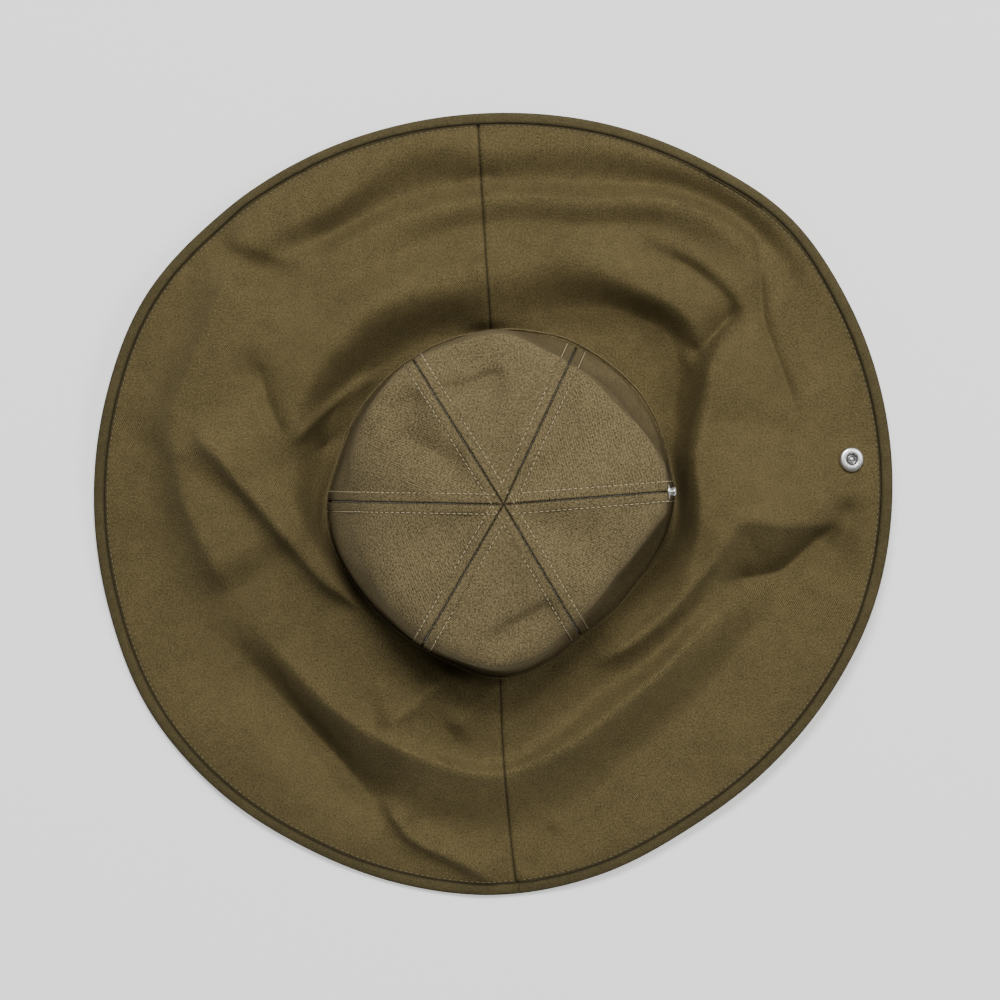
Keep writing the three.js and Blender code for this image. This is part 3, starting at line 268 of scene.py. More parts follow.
# name, rise, width on the left of the path, width on its right, softness,
# path of (angle, share of the shoulder's radius)
CROWN_DENTS = [
    ("back_dent", -0.060, 0.03, 0.07, 0.01,
     [(126, 0.80), (115, 0.755), (106, 0.735), (98, 0.75), (88, 0.79)]),
    ("back_left_dent", -0.055, 0.03, 0.06, 0.01, [(145, 0.99), (139, 0.92), (132, 0.84), (126, 0.78)]),
    ("left_hollow", -0.050, 0.07, 0.09, 0.03,
     [(146, 0.80), (145, 0.68), (143, 0.55), (140, 0.40), (136, 0.28)]),
    ("left_ledge", -0.035, 0.05, 0.08, 0.02,
     [(148, 0.97), (162, 0.99), (180, 1.03), (196, 0.98), (210, 0.96)]),
    ("front_dent", -0.078, 0.030, 0.09, 0.01,
     [(258, 0.97), (264, 0.86), (272, 0.77), (284, 0.755), (297, 0.81), (303, 0.86)]),
]
# angle, how far along the cloth the shoulder is rounded, as a share of the crown
SHOULDER_SOFTNESS = [(0, 0.05), (30, 0.01), (60, 0.01), (90, 0.02), (120, 0.05), (150, 0.07),
                     (180, 0.09), (210, 0.12), (240, 0.11), (270, 0.10), (300, 0.11), (330, 0.10)]
DOME_POWER = 2.5
PANEL_SAG = 3.0               # the cloth sinks a little between the stiffer seams
WALL_MIDDLE = 0.5
print("crown sections:", len(CROWN_SECTIONS), "dents:", len(CROWN_DENTS))

# %% [markdown]
# ## Reading the tables
# Between two rows the form has to run on smoothly, all the way round. Along one section it must never
# overshoot, or a trough would dig under its own floor. So one helper reads a column round the circle, and a
# second one runs a steady curve through the stations of one section. A crease is a ridge whose two flanks
# fall off at different rates, which is how a pinched cloth stands: one steep side and one gentle side.

# %% Table helpers
def smooth(value):
    t = np.clip(value, 0.0, 1.0)
    return t * t * (3.0 - 2.0 * t)


def column(rows, names, name):
    return np.array([row[names.index(name)] for row in rows], dtype=float)


def round_table(rows, names, name, angle):
    """Read one column at any angle, smoothly and all the way round; the rows are evenly spaced."""
    values = column(rows, names, name)
    count = len(values)
    turned = np.mod(angle, 360.0) / (360.0 / count)
    index = np.floor(turned).astype(int) % count
    t = turned - np.floor(turned)
    before, start = values[(index - 1) % count], values[index]
    end, after = values[(index + 1) % count], values[(index + 2) % count]
    slope_a, slope_b = (end - before) / 2, (after - start) / 2
    return start + t * (slope_a + t * (3 * (end - start) - 2 * slope_a - slope_b
                                       + t * (2 * (start - end) + slope_a + slope_b)))


def steady_curve(xs, ys, x):
    """A smooth curve through the stations of one section that never overshoots them."""
    steps = [b - a for a, b in zip(xs, xs[1:])]
    slopes = [(b - a) / s for a, b, s in zip(ys, ys[1:], steps)]
    tangents = [slopes[0]]
    for (s0, s1), (m0, m1) in zip(zip(steps, steps[1:]), zip(slopes, slopes[1:])):
        near, far = 2 * s1 + s0, s1 + 2 * s0
        same = m0 * m1 > 1e-12
        mean = (near + far) / (near / np.where(same, m0, 1.0) + far / np.where(same, m1, 1.0))
        tangents.append(np.where(same, mean, 0.0))
    tangents.append(slopes[-1])
    out = ys[0] + 0.0 * x
    for k, step in enumerate(steps):
        t = np.clip((x - xs[k]) / step, 0.0, 1.0)
        rise, a, b = ys[k + 1] - ys[k], tangents[k] * step, tangents[k + 1] * step
        piece = ys[k] + t * (a + t * (3 * rise - 2 * a - b + t * (a + b - 2 * rise)))
        out = np.where(x >= xs[k], piece, out)
    return out


# %% Crease helpers
def polar(radius, angle):
    turn = np.radians(angle)
    return radius * np.cos(turn), radius * np.sin(turn)


def path_line(points, steps=6):
    points = np.array(points, dtype=float)
    padded = np.vstack([2 * points[0] - points[1], points, 2 * points[-1] - points[-2]])
    line = []
    for p0, p1, p2, p3 in zip(padded, padded[1:], padded[2:], padded[3:]):
        for t in np.arange(steps) / steps:
            line.append(0.5 * (2 * p1 + (p2 - p0) * t + (2 * p0 - 5 * p1 + 4 * p2 - p3) * t ** 2
                               + (3 * p1 - p0 - 3 * p2 + p3) * t ** 3))
    line.append(points[-1])
    return np.array(line)


def fold_lift(x, y, line, rise, left, right, soft, unit):
    """How far one crease lifts each place; it tapers to nothing at both ends of its line."""
    lift = np.zeros_like(x)
    reach = 5.0 * max(left, right) * unit
    low, high = line.min(axis=0) - reach, line.max(axis=0) + reach
    near = (x > low[0]) & (x < high[0]) & (y > low[1]) & (y < high[1])
    px, py = x[near], y[near]
    best = np.full(px.shape, 1e9)
    side, along = np.zeros_like(px), np.zeros_like(px)
    run = 0.0
    for (ax, ay), (bx, by) in zip(line, line[1:]):
        ux, uy = bx - ax, by - ay
        length = math.hypot(ux, uy)
        t = np.clip(((px - ax) * ux + (py - ay) * uy) / length ** 2, 0.0, 1.0)
        dx, dy = px - ax - t * ux, py - ay - t * uy
        away = np.hypot(dx, dy)
        closer = away < best
        best = np.where(closer, away, best)
        along = np.where(closer, run + t * length, along)
        side = np.where(closer, ux * dy - uy * dx, side)
        run += length
    width = np.where(side > 0, left, right) * unit
    softness = soft * unit
    ends = smooth(along / run / FOLD_TAPER) * smooth((1 - along / run) / FOLD_TAPER)
    lift[near] = rise * ends * np.exp((softness - np.hypot(best, softness)) / width)
    return lift


# %% [markdown]
# ## The brim's surface
# The two helpers meet here: the height of the middle of the brim's cloth at any angle and any distance out
# from the base seam. Fine wrinkles are added on top, a fraction of a millimetre high, because canvas that
# has been packed and unpacked is never quite smooth. They die out at the seams, where the cloth is sewn,
# and the edge puckers between the stitches of its binding.

# %% Brim surface
def ring_radius(angle):
    return HEAD_RADIUS * round_table(BRIM_SECTIONS, BRIM_COLUMNS, "ring", angle)


def brim_plan(angle, out):
    return polar(ring_radius(angle) + out * BRIM_WIDTH, angle)


def brim_column(name, angle):
    return round_table(BRIM_SECTIONS, BRIM_COLUMNS, name, angle)


BRIM_STATIONS = ("moat", "crest", "dip", "ridge", "foot", "lip", "edge")
BRIM_LINES = [path_line([brim_plan(np.float64(a), out) for a, out in fold[5]]) for fold in BRIM_FOLDS]


def brim_stations(angle):
    outs = [np.zeros_like(angle)] + [brim_column(f"{name}_out", angle) for name in BRIM_STATIONS]
    rises = [brim_column("seat", angle)] + [brim_column(f"{name}_rise", angle) for name in BRIM_STATIONS]
    return outs, rises


def brim_height(angle, out):
    outs, rises = brim_stations(angle)
    x, y = brim_plan(angle, out)
    share = steady_curve(outs, rises, out)
    fade = smooth(out / SEAM_FADE)
    for (_, rise, left, right, soft, _), line in zip(BRIM_FOLDS, BRIM_LINES):
        share = share + fade * fold_lift(x, y, line, rise, left, right, soft, BRIM_WIDTH)
    return np.maximum(share * BRIM_RISE, BINDING_HALF)


# %% Fine wrinkles
# height, wavelength, seed
BRIM_RIPPLES = [(0.34, 46.0, 3), (0.12, 19.0, 5)]
PUCKERS_PER_TURN = 205 / 0.9
PUCKER_HEIGHT = 0.16


def ridge(distance, place, width):
    """A smooth bump of height 1 at a place, dying out over a width."""
    return np.exp(-((distance - place) / width) ** 2)


def ripples(x, y, wavelength, seed, waves=14):
    rng = np.random.default_rng(seed)
    total = np.zeros_like(x)
    for _ in range(waves):
        turn = rng.uniform(0, math.pi)
        size = wavelength * rng.uniform(0.7, 1.5)
        phase = rng.uniform(0, 2 * math.pi)
        bend = rng.uniform(0.4, 1.0) * size
        drift = bend * np.sin((x * math.sin(turn) - y * math.cos(turn)) / size * 1.7 + phase)
        total += np.sin(2 * math.pi * (x * math.cos(turn) + y * math.sin(turn) + 0.35 * drift) / size + phase)
    return total / math.sqrt(waves)


def brim_wrinkles(angle, out):
    x, y = brim_plan(angle, out)
    edge = brim_column("edge_out", angle)
    rim = (edge - out) * BRIM_WIDTH - BINDING_WIDTH
    hold = smooth(out / 0.05) * smooth(rim / 9.0)
    soft = sum(height * ripples(x, y, wavelength, seed) for height, wavelength, seed in BRIM_RIPPLES)
    pucker = PUCKER_HEIGHT * np.sin(np.radians(angle) * PUCKERS_PER_TURN) * np.exp(-np.abs(rim - 1.2) / 4.0)
    return hold * soft + pucker * smooth(rim / 1.2)


sample = np.linspace(0, 350, 8)
print("crest heights, mm:", np.round(brim_height(sample, brim_column("crest_out", sample)), 1))

# %% [markdown]
# ## The crown's surface
# The crown is a low dome on a wall. A row from 0 to 1 runs from the top to the shoulder, and a row from 1 to
# 2 runs down the wall to the base seam. Each panel sags a little between its stiffer seams, and shallow
# dents lie across the top. The dome and the wall would meet in a hard edge, so the shoulder is rounded: each
# place there is a mean of places a little up and down the cloth, over a reach that changes round the crown,
# because the cloth is sharply bent at the back and softly rolled at the left and the front.

# %% Crown surface
def crown_column(name, angle):
    return round_table(CROWN_SECTIONS, CROWN_COLUMNS, name, angle)


def crown_base(angle):
    return brim_column("seat", angle) * BRIM_RISE + BRIM_WALL / 2 + SEAM_GAP


CROWN_LINES = []
for dent in CROWN_DENTS:
    points = [polar(share * HEAD_RADIUS * crown_column("shoulder", np.float64(a)), a) for a, share in dent[5]]
    CROWN_LINES.append(path_line(points))


def panel_share(angle):
    """How far across its panel an angle lies: 0 at one seam, 1 at the next."""
    seams = np.array(CROWN_SEAMS + [CROWN_SEAMS[0] + 360.0])
    turned = np.mod(angle - seams[0], 360.0) + seams[0]
    index = np.clip(np.searchsorted(seams, turned, side="right") - 1, 0, 5)
    return (turned - seams[index]) / (seams[index + 1] - seams[index])


def crown_bend(angle, row):
    shoulder = HEAD_RADIUS * crown_column("shoulder", angle)
    wall = HEAD_RADIUS * crown_column("wall", angle)
    base = crown_base(angle)
    rise = CROWN_HEIGHT * crown_column("shoulder_rise", angle)
    top = crown_base(np.float64(0)) + CROWN_HEIGHT
    down = np.clip(row - 1.0, 0.0, 1.0)
    dome_row = np.clip(row, 0.0, 1.0)
    zero = np.zeros_like(down)
    wall_rows = [zero, zero + WALL_MIDDLE, zero + 1.0]
    wall_radius = steady_curve(wall_rows, [shoulder, wall, ring_radius(angle)], down)
    radius = np.where(row <= 1.0, dome_row * shoulder, wall_radius)
    x, y = polar(radius, angle)
    z_dome = base + rise + (top - base - rise) * (1 - dome_row ** DOME_POWER)
    z_dome = z_dome - PANEL_SAG * (np.sin(math.pi * panel_share(angle)) * np.sin(math.pi * dome_row)) ** 2
    z_wall = base + rise * (1 - down)
    z = np.where(row <= 1.0, z_dome, z_wall)
    for (_, depth, left, right, soft, _), line in zip(CROWN_DENTS, CROWN_LINES):
        z = z + (1 - down) * CROWN_HEIGHT * fold_lift(x, y, line, depth, left, right, soft, HEAD_RADIUS)
    return np.stack([x, y, z], axis=-1)


SHOULDER_BAND = 0.24
# steps up and down the cloth as shares of the reach, and how much each counts
SHOULDER_STEPS = [(-1.5, 0.08), (-1.0, 0.14), (-0.5, 0.18), (0.0, 0.20), (0.5, 0.18), (1.0, 0.14),
                  (1.5, 0.08)]


def crown_place(angle, row):
    """The crown with its shoulder rounded: a weighted mean of places a little up and down the cloth."""
    reach = round_table(SHOULDER_SOFTNESS, ("angle", "soft"), "soft", angle)
    reach = reach * ridge(row, 1.0, SHOULDER_BAND)
    return sum(weight * crown_bend(angle, row + step * reach) for step, weight in SHOULDER_STEPS)


print("crown top, mm:", np.round(crown_place(np.zeros(1), np.zeros(1))[0], 1))


# %% [markdown]
# ## Where the snap sits
# A snap is set in flat cloth, so the cloth is drawn onto a plane round each half of it, and eases back into
# its own shape a little further out. The stud sits on the crown's right-hand seam, the socket on the brim.

# %% Snap places
SOCKET_ANGLE, SOCKET_OUT = 7.4, 0.79
STUD_ANGLE, STUD_HEIGHT_SHARE = CROWN_SEAMS[0], 0.63
SEAT_FLAT, SEAT_FADE = 8.0, 12.0


def brim_spot(angle, out):
    angle, out = np.array([float(angle)]), np.array([float(out)])
    return np.array([*brim_plan(angle, out), brim_height(angle, out)])[:, 0]


def crown_spot(angle, row):
    return crown_place(np.array([float(angle)]), np.array([float(row)]))[0]


def square_to(place, further, round_the):
    normal = np.cross(further - place, round_the - place)
    return normal / np.linalg.norm(normal)


stud_row = 2 - STUD_HEIGHT_SHARE / float(crown_column("shoulder_rise", np.float64(STUD_ANGLE)))
socket_place = brim_spot(SOCKET_ANGLE, SOCKET_OUT)
socket_normal = square_to(socket_place, brim_spot(SOCKET_ANGLE, SOCKET_OUT + 0.02),
                          brim_spot(SOCKET_ANGLE + 1, SOCKET_OUT))
stud_place = crown_spot(STUD_ANGLE, stud_row)
stud_normal = square_to(stud_place, crown_spot(STUD_ANGLE, stud_row + 0.05),
                        crown_spot(STUD_ANGLE + 1, stud_row))


def seat_on_snap(points, place, normal):
    offset = points - place
    height = offset @ normal
    hold = 1 - smooth((np.linalg.norm(offset, axis=-1) - SEAT_FLAT) / SEAT_FADE)
    return points - normal * (height * hold)[..., None]


print("socket at, mm:", np.round(socket_place, 1), "stud at, mm:", np.round(stud_place, 1))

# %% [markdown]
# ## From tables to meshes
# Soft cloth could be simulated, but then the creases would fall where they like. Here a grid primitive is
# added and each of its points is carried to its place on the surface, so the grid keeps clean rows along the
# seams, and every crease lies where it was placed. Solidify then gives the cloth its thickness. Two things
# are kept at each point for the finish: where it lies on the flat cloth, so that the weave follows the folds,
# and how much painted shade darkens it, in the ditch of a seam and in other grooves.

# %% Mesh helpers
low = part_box("crown_panel_1")[0]
tip = SEAM_GAP / 2 / math.sin(math.radians((CROWN_SEAMS[1] - CROWN_SEAMS[0]) / 2))
tip_angle = math.radians((CROWN_SEAMS[0] + CROWN_SEAMS[1]) / 2)
AXIS = np.array([low[0] / MM - tip * math.cos(tip_angle), low[1] / MM - tip * math.sin(tip_angle), 0.0])
print("crown axis, mm:", np.round(AXIS, 2))


def cloth_grid(name, places):
    """Add a grid and carry its points to their places, in mm from the crown axis."""
    rows, columns = places.shape[:2]
    bpy.ops.object.select_all(action="DESELECT")
    bpy.ops.mesh.primitive_grid_add(x_subdivisions=columns - 1, y_subdivisions=rows - 1, size=1.0)
    piece = bpy.context.object
    piece.name = name
    piece.data.name = name
    spots = (places.reshape(-1, 3) + AXIS) * MM
    piece.data.vertices.foreach_set("co", spots.astype(np.float32).ravel())
    piece.data.update()
    return piece


def edit_clean(piece, distance):
    """Merge double points, then turn the faces outwards."""
    plain_select(piece)
    bpy.ops.object.mode_set(mode="EDIT")
    bpy.ops.mesh.select_all(action="SELECT")
    bpy.ops.mesh.remove_doubles(threshold=distance)
    bpy.ops.mesh.normals_make_consistent(inside=False)
    bpy.ops.object.mode_set(mode="OBJECT")


def thicken(piece, wall, offset):
    plain_select(piece)
    modifier = piece.modifiers.new("cloth_wall", "SOLIDIFY")
    modifier.thickness = wall * MM
    modifier.offset = offset
    modifier.use_even_offset = False
    bpy.ops.object.modifier_apply(modifier=modifier.name)
    bpy.ops.object.shade_smooth()


def face_up(piece):
    """Turn the faces over where more of them point down than up."""
    normal_z = sum(p.normal.z * p.area for p in piece.data.polygons)
    if normal_z < 0:
        plain_select(piece)
        bpy.ops.object.mode_set(mode="EDIT")
        bpy.ops.mesh.select_all(action="SELECT")
        bpy.ops.mesh.flip_normals()
        bpy.ops.object.mode_set(mode="OBJECT")


UV_PER_MM = 0.01


def lay_uv(piece, across, along):
    """Lay the weave along the flat cloth, in mm across and along it."""
    layer = piece.data.uv_layers.active or piece.data.uv_layers.new(name="weave")
    layer.name = "weave"
    corner_vertex = np.empty(len(piece.data.loops), dtype=np.int32)
    piece.data.loops.foreach_get("vertex_index", corner_vertex)
    flat = np.stack([across.ravel()[corner_vertex], along.ravel()[corner_vertex]], axis=-1)
    layer.data.foreach_set("uv", (flat * UV_PER_MM).astype(np.float32).ravel())


def lay_painted_shade(piece, shade):
    """Keep, at each point, how much painted shade darkens it in a groove or ditch: 0 none, 1 most."""
    layer = piece.data.attributes.new("seam_shade", "FLOAT", "POINT")
    layer.data.foreach_set("value", np.asarray(shade, dtype=np.float32).ravel())


# %% Taking a solid's place
def join_object(piece):
    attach(piece, "root")
    print(piece.name, len(piece.data.polygons), "faces")


def take_place(piece, node):
    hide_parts(node)
    join_object(piece)


# %% [markdown]
# ## Brim halves
# Each half is cut from one piece of cloth and runs from the back seam round to the front seam. The rows
# follow the trough, crest, dip and ridge, so that the mesh is fine where the cloth bends most. Along both
# seams the cloth turns down into a narrow groove, with the seam allowance as a low swell beside it, so a few
# columns of points lie close together there.

# %% Brim halves
BRIM_COLUMNS_FINE = 300
ROWS_BETWEEN = (3, 3, 18, 14, 14, 18, 16, 14)
GROOVE_DEPTH, GROOVE_WIDTH = 0.9, 0.9
SWELL_HEIGHT, SWELL_PLACE, SWELL_WIDTH = 0.25, 3.0, 2.2


def half_angle(start_seam, end_seam, share, out):
    start = start_seam[0] + (start_seam[1] - start_seam[0]) * np.maximum(out, 0)
    end = end_seam[0] + (end_seam[1] - end_seam[0]) * np.maximum(out, 0)
    end = end + (360.0 if end_seam[0] < start_seam[0] else 0.0)
    radius = ring_radius(start + (end - start) * share) + out * BRIM_WIDTH
    gap = np.degrees(JOIN_GAP / 2 / radius)
    return start + gap + (end - start - 2 * gap) * share


def shares_with_seams(count, seam_share=0.006, extra=6):
    """Even steps along a half, with finer ones beside both seams."""
    beside = np.linspace(0, seam_share, extra)
    return np.concatenate([beside, np.linspace(seam_share, 1 - seam_share, count)[1:-1], (1 - beside)[::-1]])


def edge_frame(start_seam, end_seam, share):
    angle = half_angle(start_seam, end_seam, share, np.ones_like(share))
    edge = brim_column("edge_out", angle)
    inner = edge - BINDING_WIDTH / BRIM_WIDTH
    tip_spot = np.stack([*brim_plan(angle, edge), brim_height(angle, edge)], axis=-1)
    root_spot = np.stack([*brim_plan(angle, inner), brim_height(angle, inner)], axis=-1)
    outward = tip_spot - root_spot
    outward /= np.linalg.norm(outward, axis=-1, keepdims=True)
    turn = np.radians(angle)
    around = np.stack([-np.sin(turn), np.cos(turn), np.zeros_like(turn)], axis=-1)
    up = np.cross(outward, around)
    return tip_spot, outward, up, angle


def brim_half(name, start_seam, end_seam):
    share = shares_with_seams(BRIM_COLUMNS_FINE)
    outs, _ = brim_stations(half_angle(start_seam, end_seam, share, np.full_like(share, 0.5)))
    inner_edge = outs[-1] - (BINDING_WIDTH + SEAM_GAP) / BRIM_WIDTH
    marks = [np.full_like(share, -CROWN_WALL / BRIM_WIDTH)] + outs[:-1] + [inner_edge]
    row_outs = [marks[0]]
    for a, b, count in zip(marks, marks[1:], ROWS_BETWEEN):
        row_outs += [a + (b - a) * k / count for k in range(1, count + 1)]
    row_outs = np.array(row_outs)
    angle = half_angle(start_seam, end_seam, share[None, :], row_outs)
    x, y = brim_plan(angle, row_outs)
    z = brim_height(angle, row_outs) + brim_wrinkles(angle, row_outs)
    from_start = (angle - half_angle(start_seam, end_seam, 0.0, row_outs)) * np.radians(1) * np.hypot(x, y)
    from_end = (half_angle(start_seam, end_seam, 1.0, row_outs) - angle) * np.radians(1) * np.hypot(x, y)
    seam = np.minimum(from_start, from_end)
    z = z - GROOVE_DEPTH * ridge(seam, 0.0, GROOVE_WIDTH)
    z = z + SWELL_HEIGHT * ridge(seam, SWELL_PLACE, SWELL_WIDTH)
    places = seat_on_snap(np.stack([x, y, z], axis=-1), socket_place, socket_normal)
    tip_spot, outward, _, _ = edge_frame(start_seam, end_seam, share)
    places[-1] = tip_spot - outward * (BINDING_WIDTH + SEAM_GAP)
    slot = tip_spot - outward * (BINDING_WALL + SEAM_GAP)
    places = np.concatenate([places, slot[None]], axis=0)
    piece = cloth_grid(name, places)
    run = np.cumsum(np.linalg.norm(np.diff(places, axis=0, prepend=places[:1]), axis=-1), axis=0)
    reach = run + ring_radius(angle[0])[None, :]
    turn = np.radians(np.concatenate([angle, angle[-1:]], axis=0))
    lay_uv(piece, reach * np.cos(turn), reach * np.sin(turn))
    rim = (inner_edge[None, :] - row_outs) * BRIM_WIDTH
    # painted shade: darker in the seam's groove and in the ditch beside the binding
    shade = ridge(seam, 0.0, 0.8) + 0.6 * ridge(rim, 0.0, 0.9)
    lay_painted_shade(piece, np.concatenate([shade, shade[-1:]], axis=0))
    face_up(piece)
    thicken(piece, BRIM_WALL, 0.0)
    return piece


brim_left = brim_half("brim_cloth_left", BRIM_SEAMS[0], BRIM_SEAMS[1])
brim_right = brim_half("brim_cloth_right", BRIM_SEAMS[1], BRIM_SEAMS[0])
take_place(brim_left, "brim_left")
take_place(brim_right, "brim_right")

# %% [markdown]
# ## Edge binding
# The edge is finished with a tape folded over it and filled out into a soft roll, with the stitching in
# the ditch on its inner side. Its section is a closed outline with a slot for the brim, swept along the
# edge. The roll swells and tightens a little between stitches, as sewn tape does.

# %% Edge binding
BINDING_COLUMNS = 420
ROLL_SWELL = 0.10
ROLL_RIPPLE = (0.12, 24.0, 11)           # height, wavelength, seed
SEAM_PINCH = 0.7


def binding_half(name, start_seam, end_seam):
    share = shares_with_seams(BINDING_COLUMNS, 0.004)
    tip_spot, outward, up, angle = edge_frame(start_seam, end_seam, share)
    slot, thick = BRIM_WALL / 2 + SEAM_GAP, BINDING_HALF
    root = -BINDING_WIDTH
    half = [(root, slot), (root + 0.05, slot + 0.15), (root + 0.4, 0.72 * thick),
            (root + 0.9, 0.86 * thick), (root + 1.7, 0.96 * thick), (-3.6, thick),
            (-2.7, 0.98 * thick), (-1.9, 0.91 * thick), (-1.2, 0.79 * thick), (-0.6, 0.60 * thick),
            (-0.2, 0.36 * thick)]
    below = [(a, -h) for a, h in reversed(half)]
    outline = half + [(0.0, 0.0)] + below + [(-BINDING_WALL, -slot), (-BINDING_WALL, slot)]
    height, wavelength, seed = ROLL_RIPPLE
    swell = ROLL_SWELL * np.sin(np.radians(angle) * PUCKERS_PER_TURN)
    swell += height * ripples(angle * 3.6, angle * 0.7, wavelength, seed)
    length = np.cumsum(np.linalg.norm(np.diff(tip_spot, axis=0, prepend=tip_spot[:1]), axis=-1))
    swell -= SEAM_PINCH * ridge(np.minimum(length, length[-1] - length), 0.0, SEAM_PINCH)
    rows = []
    for along, height in outline + outline[:1]:
        outer_side = smooth((along + BINDING_WIDTH) / 1.5)
        lift = height + np.sign(height) * swell * outer_side * (abs(height) > slot + 0.01) * (height > 0)
        rows.append(tip_spot + outward * along + up * lift[:, None])
    places = np.array(rows)
    piece = cloth_grid(name, places)
    around = np.cumsum([0] + [math.dist(a, b) for a, b in zip(outline, outline[1:] + outline[:1])])
    lay_uv(piece, np.tile(length, (len(rows), 1)), np.tile(around[:, None], (1, len(length))))
    inward = np.array([along for along, _ in outline + outline[:1]])
    # painted shade: darker in the ditch at the roll's inner side and along its outer edge
    groove = 0.9 * ridge(inward, -BINDING_WIDTH, 0.8) + 0.45 * ridge(inward, 0.0, 0.7)
    lay_painted_shade(piece, np.tile(groove[:, None], (1, len(length))))
    plain_select(piece)
    bpy.ops.object.mode_set(mode="EDIT")
    bpy.ops.mesh.select_all(action="SELECT")
    bpy.ops.mesh.remove_doubles(threshold=1e-6)
    bpy.ops.mesh.select_all(action="DESELECT")
    bpy.ops.mesh.select_non_manifold()
    bpy.ops.mesh.fill()
    bpy.ops.mesh.select_all(action="SELECT")
    bpy.ops.mesh.normals_make_consistent(inside=False)
    bpy.ops.object.mode_set(mode="OBJECT")
    bpy.ops.object.shade_smooth_by_angle(angle=math.radians(50))
    return piece


binding_left = binding_half("binding_roll_left", BRIM_SEAMS[0], BRIM_SEAMS[1])
binding_right = binding_half("binding_roll_right", BRIM_SEAMS[1], BRIM_SEAMS[0])
take_place(binding_left, "edge_binding_left")
take_place(binding_right, "edge_binding_right")

# %% [markdown]
# ## Crown panels
# Six tapered panels meet at the top. Each seam is a fine groove; on both sides of it the seam allowance
# lies folded under the cloth, which makes a flat raised strip that ends at the row of topstitching. Columns
# of points run along the groove, the strip and the stitch line, so those stay crisp. Towards the top the
# columns draw together with the panel's point. Painted shade darkens the cloth in the groove and along the
# stitch line.

# %% Crown panels
STITCH_OFFSET = 5.2
STITCH_PITCH = 3.0
SEAM_COLUMNS = (JOIN_GAP / 2, 0.4, 0.75, 1.2, 1.9, 3.0, 4.2, 4.75, 5.2, 5.65, 6.2, 7.2, 8.8)
MIDDLE_COLUMNS = 26
DOME_STEPS = 110
WALL_STEPS = 44
CROWN_GROOVE, CROWN_GROOVE_WIDTH = 0.85, 0.55
STRIP_HEIGHT, STRIP_EDGE, STRIP_SLOPE = 0.42, 4.7, 1.3
THREAD_PULL, THREAD_PULL_WIDTH = 0.28, 0.45
# height, wavelength, seed, and how far the pattern slides across and along for each mm of height
CROWN_RIPPLES = [(0.55, 52.0, 21, 0.6, -0.4), (0.16, 20.0, 23, -0.5, 0.7)]


def seam_relief(distance):
    groove = -CROWN_GROOVE * ridge(distance, 0.0, CROWN_GROOVE_WIDTH)
    strip = STRIP_HEIGHT * (1 - smooth((distance - STRIP_EDGE) / STRIP_SLOPE))
    pull = -THREAD_PULL * ridge(distance, STITCH_OFFSET, THREAD_PULL_WIDTH)
    return groove + strip + pull


def crown_point_rows():
    dome = np.linspace(0, 1, DOME_STEPS + 1)
    wall = 1 + np.linspace(0, 1, WALL_STEPS + 1)[1:]
    return np.concatenate([dome, wall])


def crown_radius(angle, row):
    place = crown_place(np.asarray(angle, dtype=float), np.asarray(row, dtype=float))
    return np.hypot(place[..., 0], place[..., 1])


def grid_normals(places):
    down = np.gradient(places, axis=0)
    across = np.gradient(places, axis=1)
    normal = np.cross(down, across)
    length = np.linalg.norm(normal, axis=-1, keepdims=True)
    return normal / np.maximum(length, 1e-9)


def panel_angles(start, end, rows):
    start_radius = np.maximum(crown_radius(np.full_like(rows, start), rows), 0.4)
    end_radius = np.maximum(crown_radius(np.full_like(rows, end), rows), 0.4)
    half = np.minimum(start_radius, end_radius) * math.sin(math.radians((end - start) / 2))
    squeeze = np.minimum(1.0, 0.62 * half / SEAM_COLUMNS[-1])
    near_start, near_end = [], []
    for offset in SEAM_COLUMNS:
        scaled = np.minimum(offset * squeeze, 0.9 * half)
        near_start.append(start + np.degrees(np.arcsin(np.clip(scaled / start_radius, 0, 0.9))))
        near_end.append(end - np.degrees(np.arcsin(np.clip(scaled / end_radius, 0, 0.9))))
    first, last = near_start[-1], near_end[-1]
    middle = [first + (last - first) * k / MIDDLE_COLUMNS for k in range(1, MIDDLE_COLUMNS)]
    return np.stack(near_start + middle + near_end[::-1], axis=-1)


def crown_softness(x, y, z):
    return sum(height * ripples(x + across * z, y + along * z, wavelength, seed)
               for height, wavelength, seed, across, along in CROWN_RIPPLES)


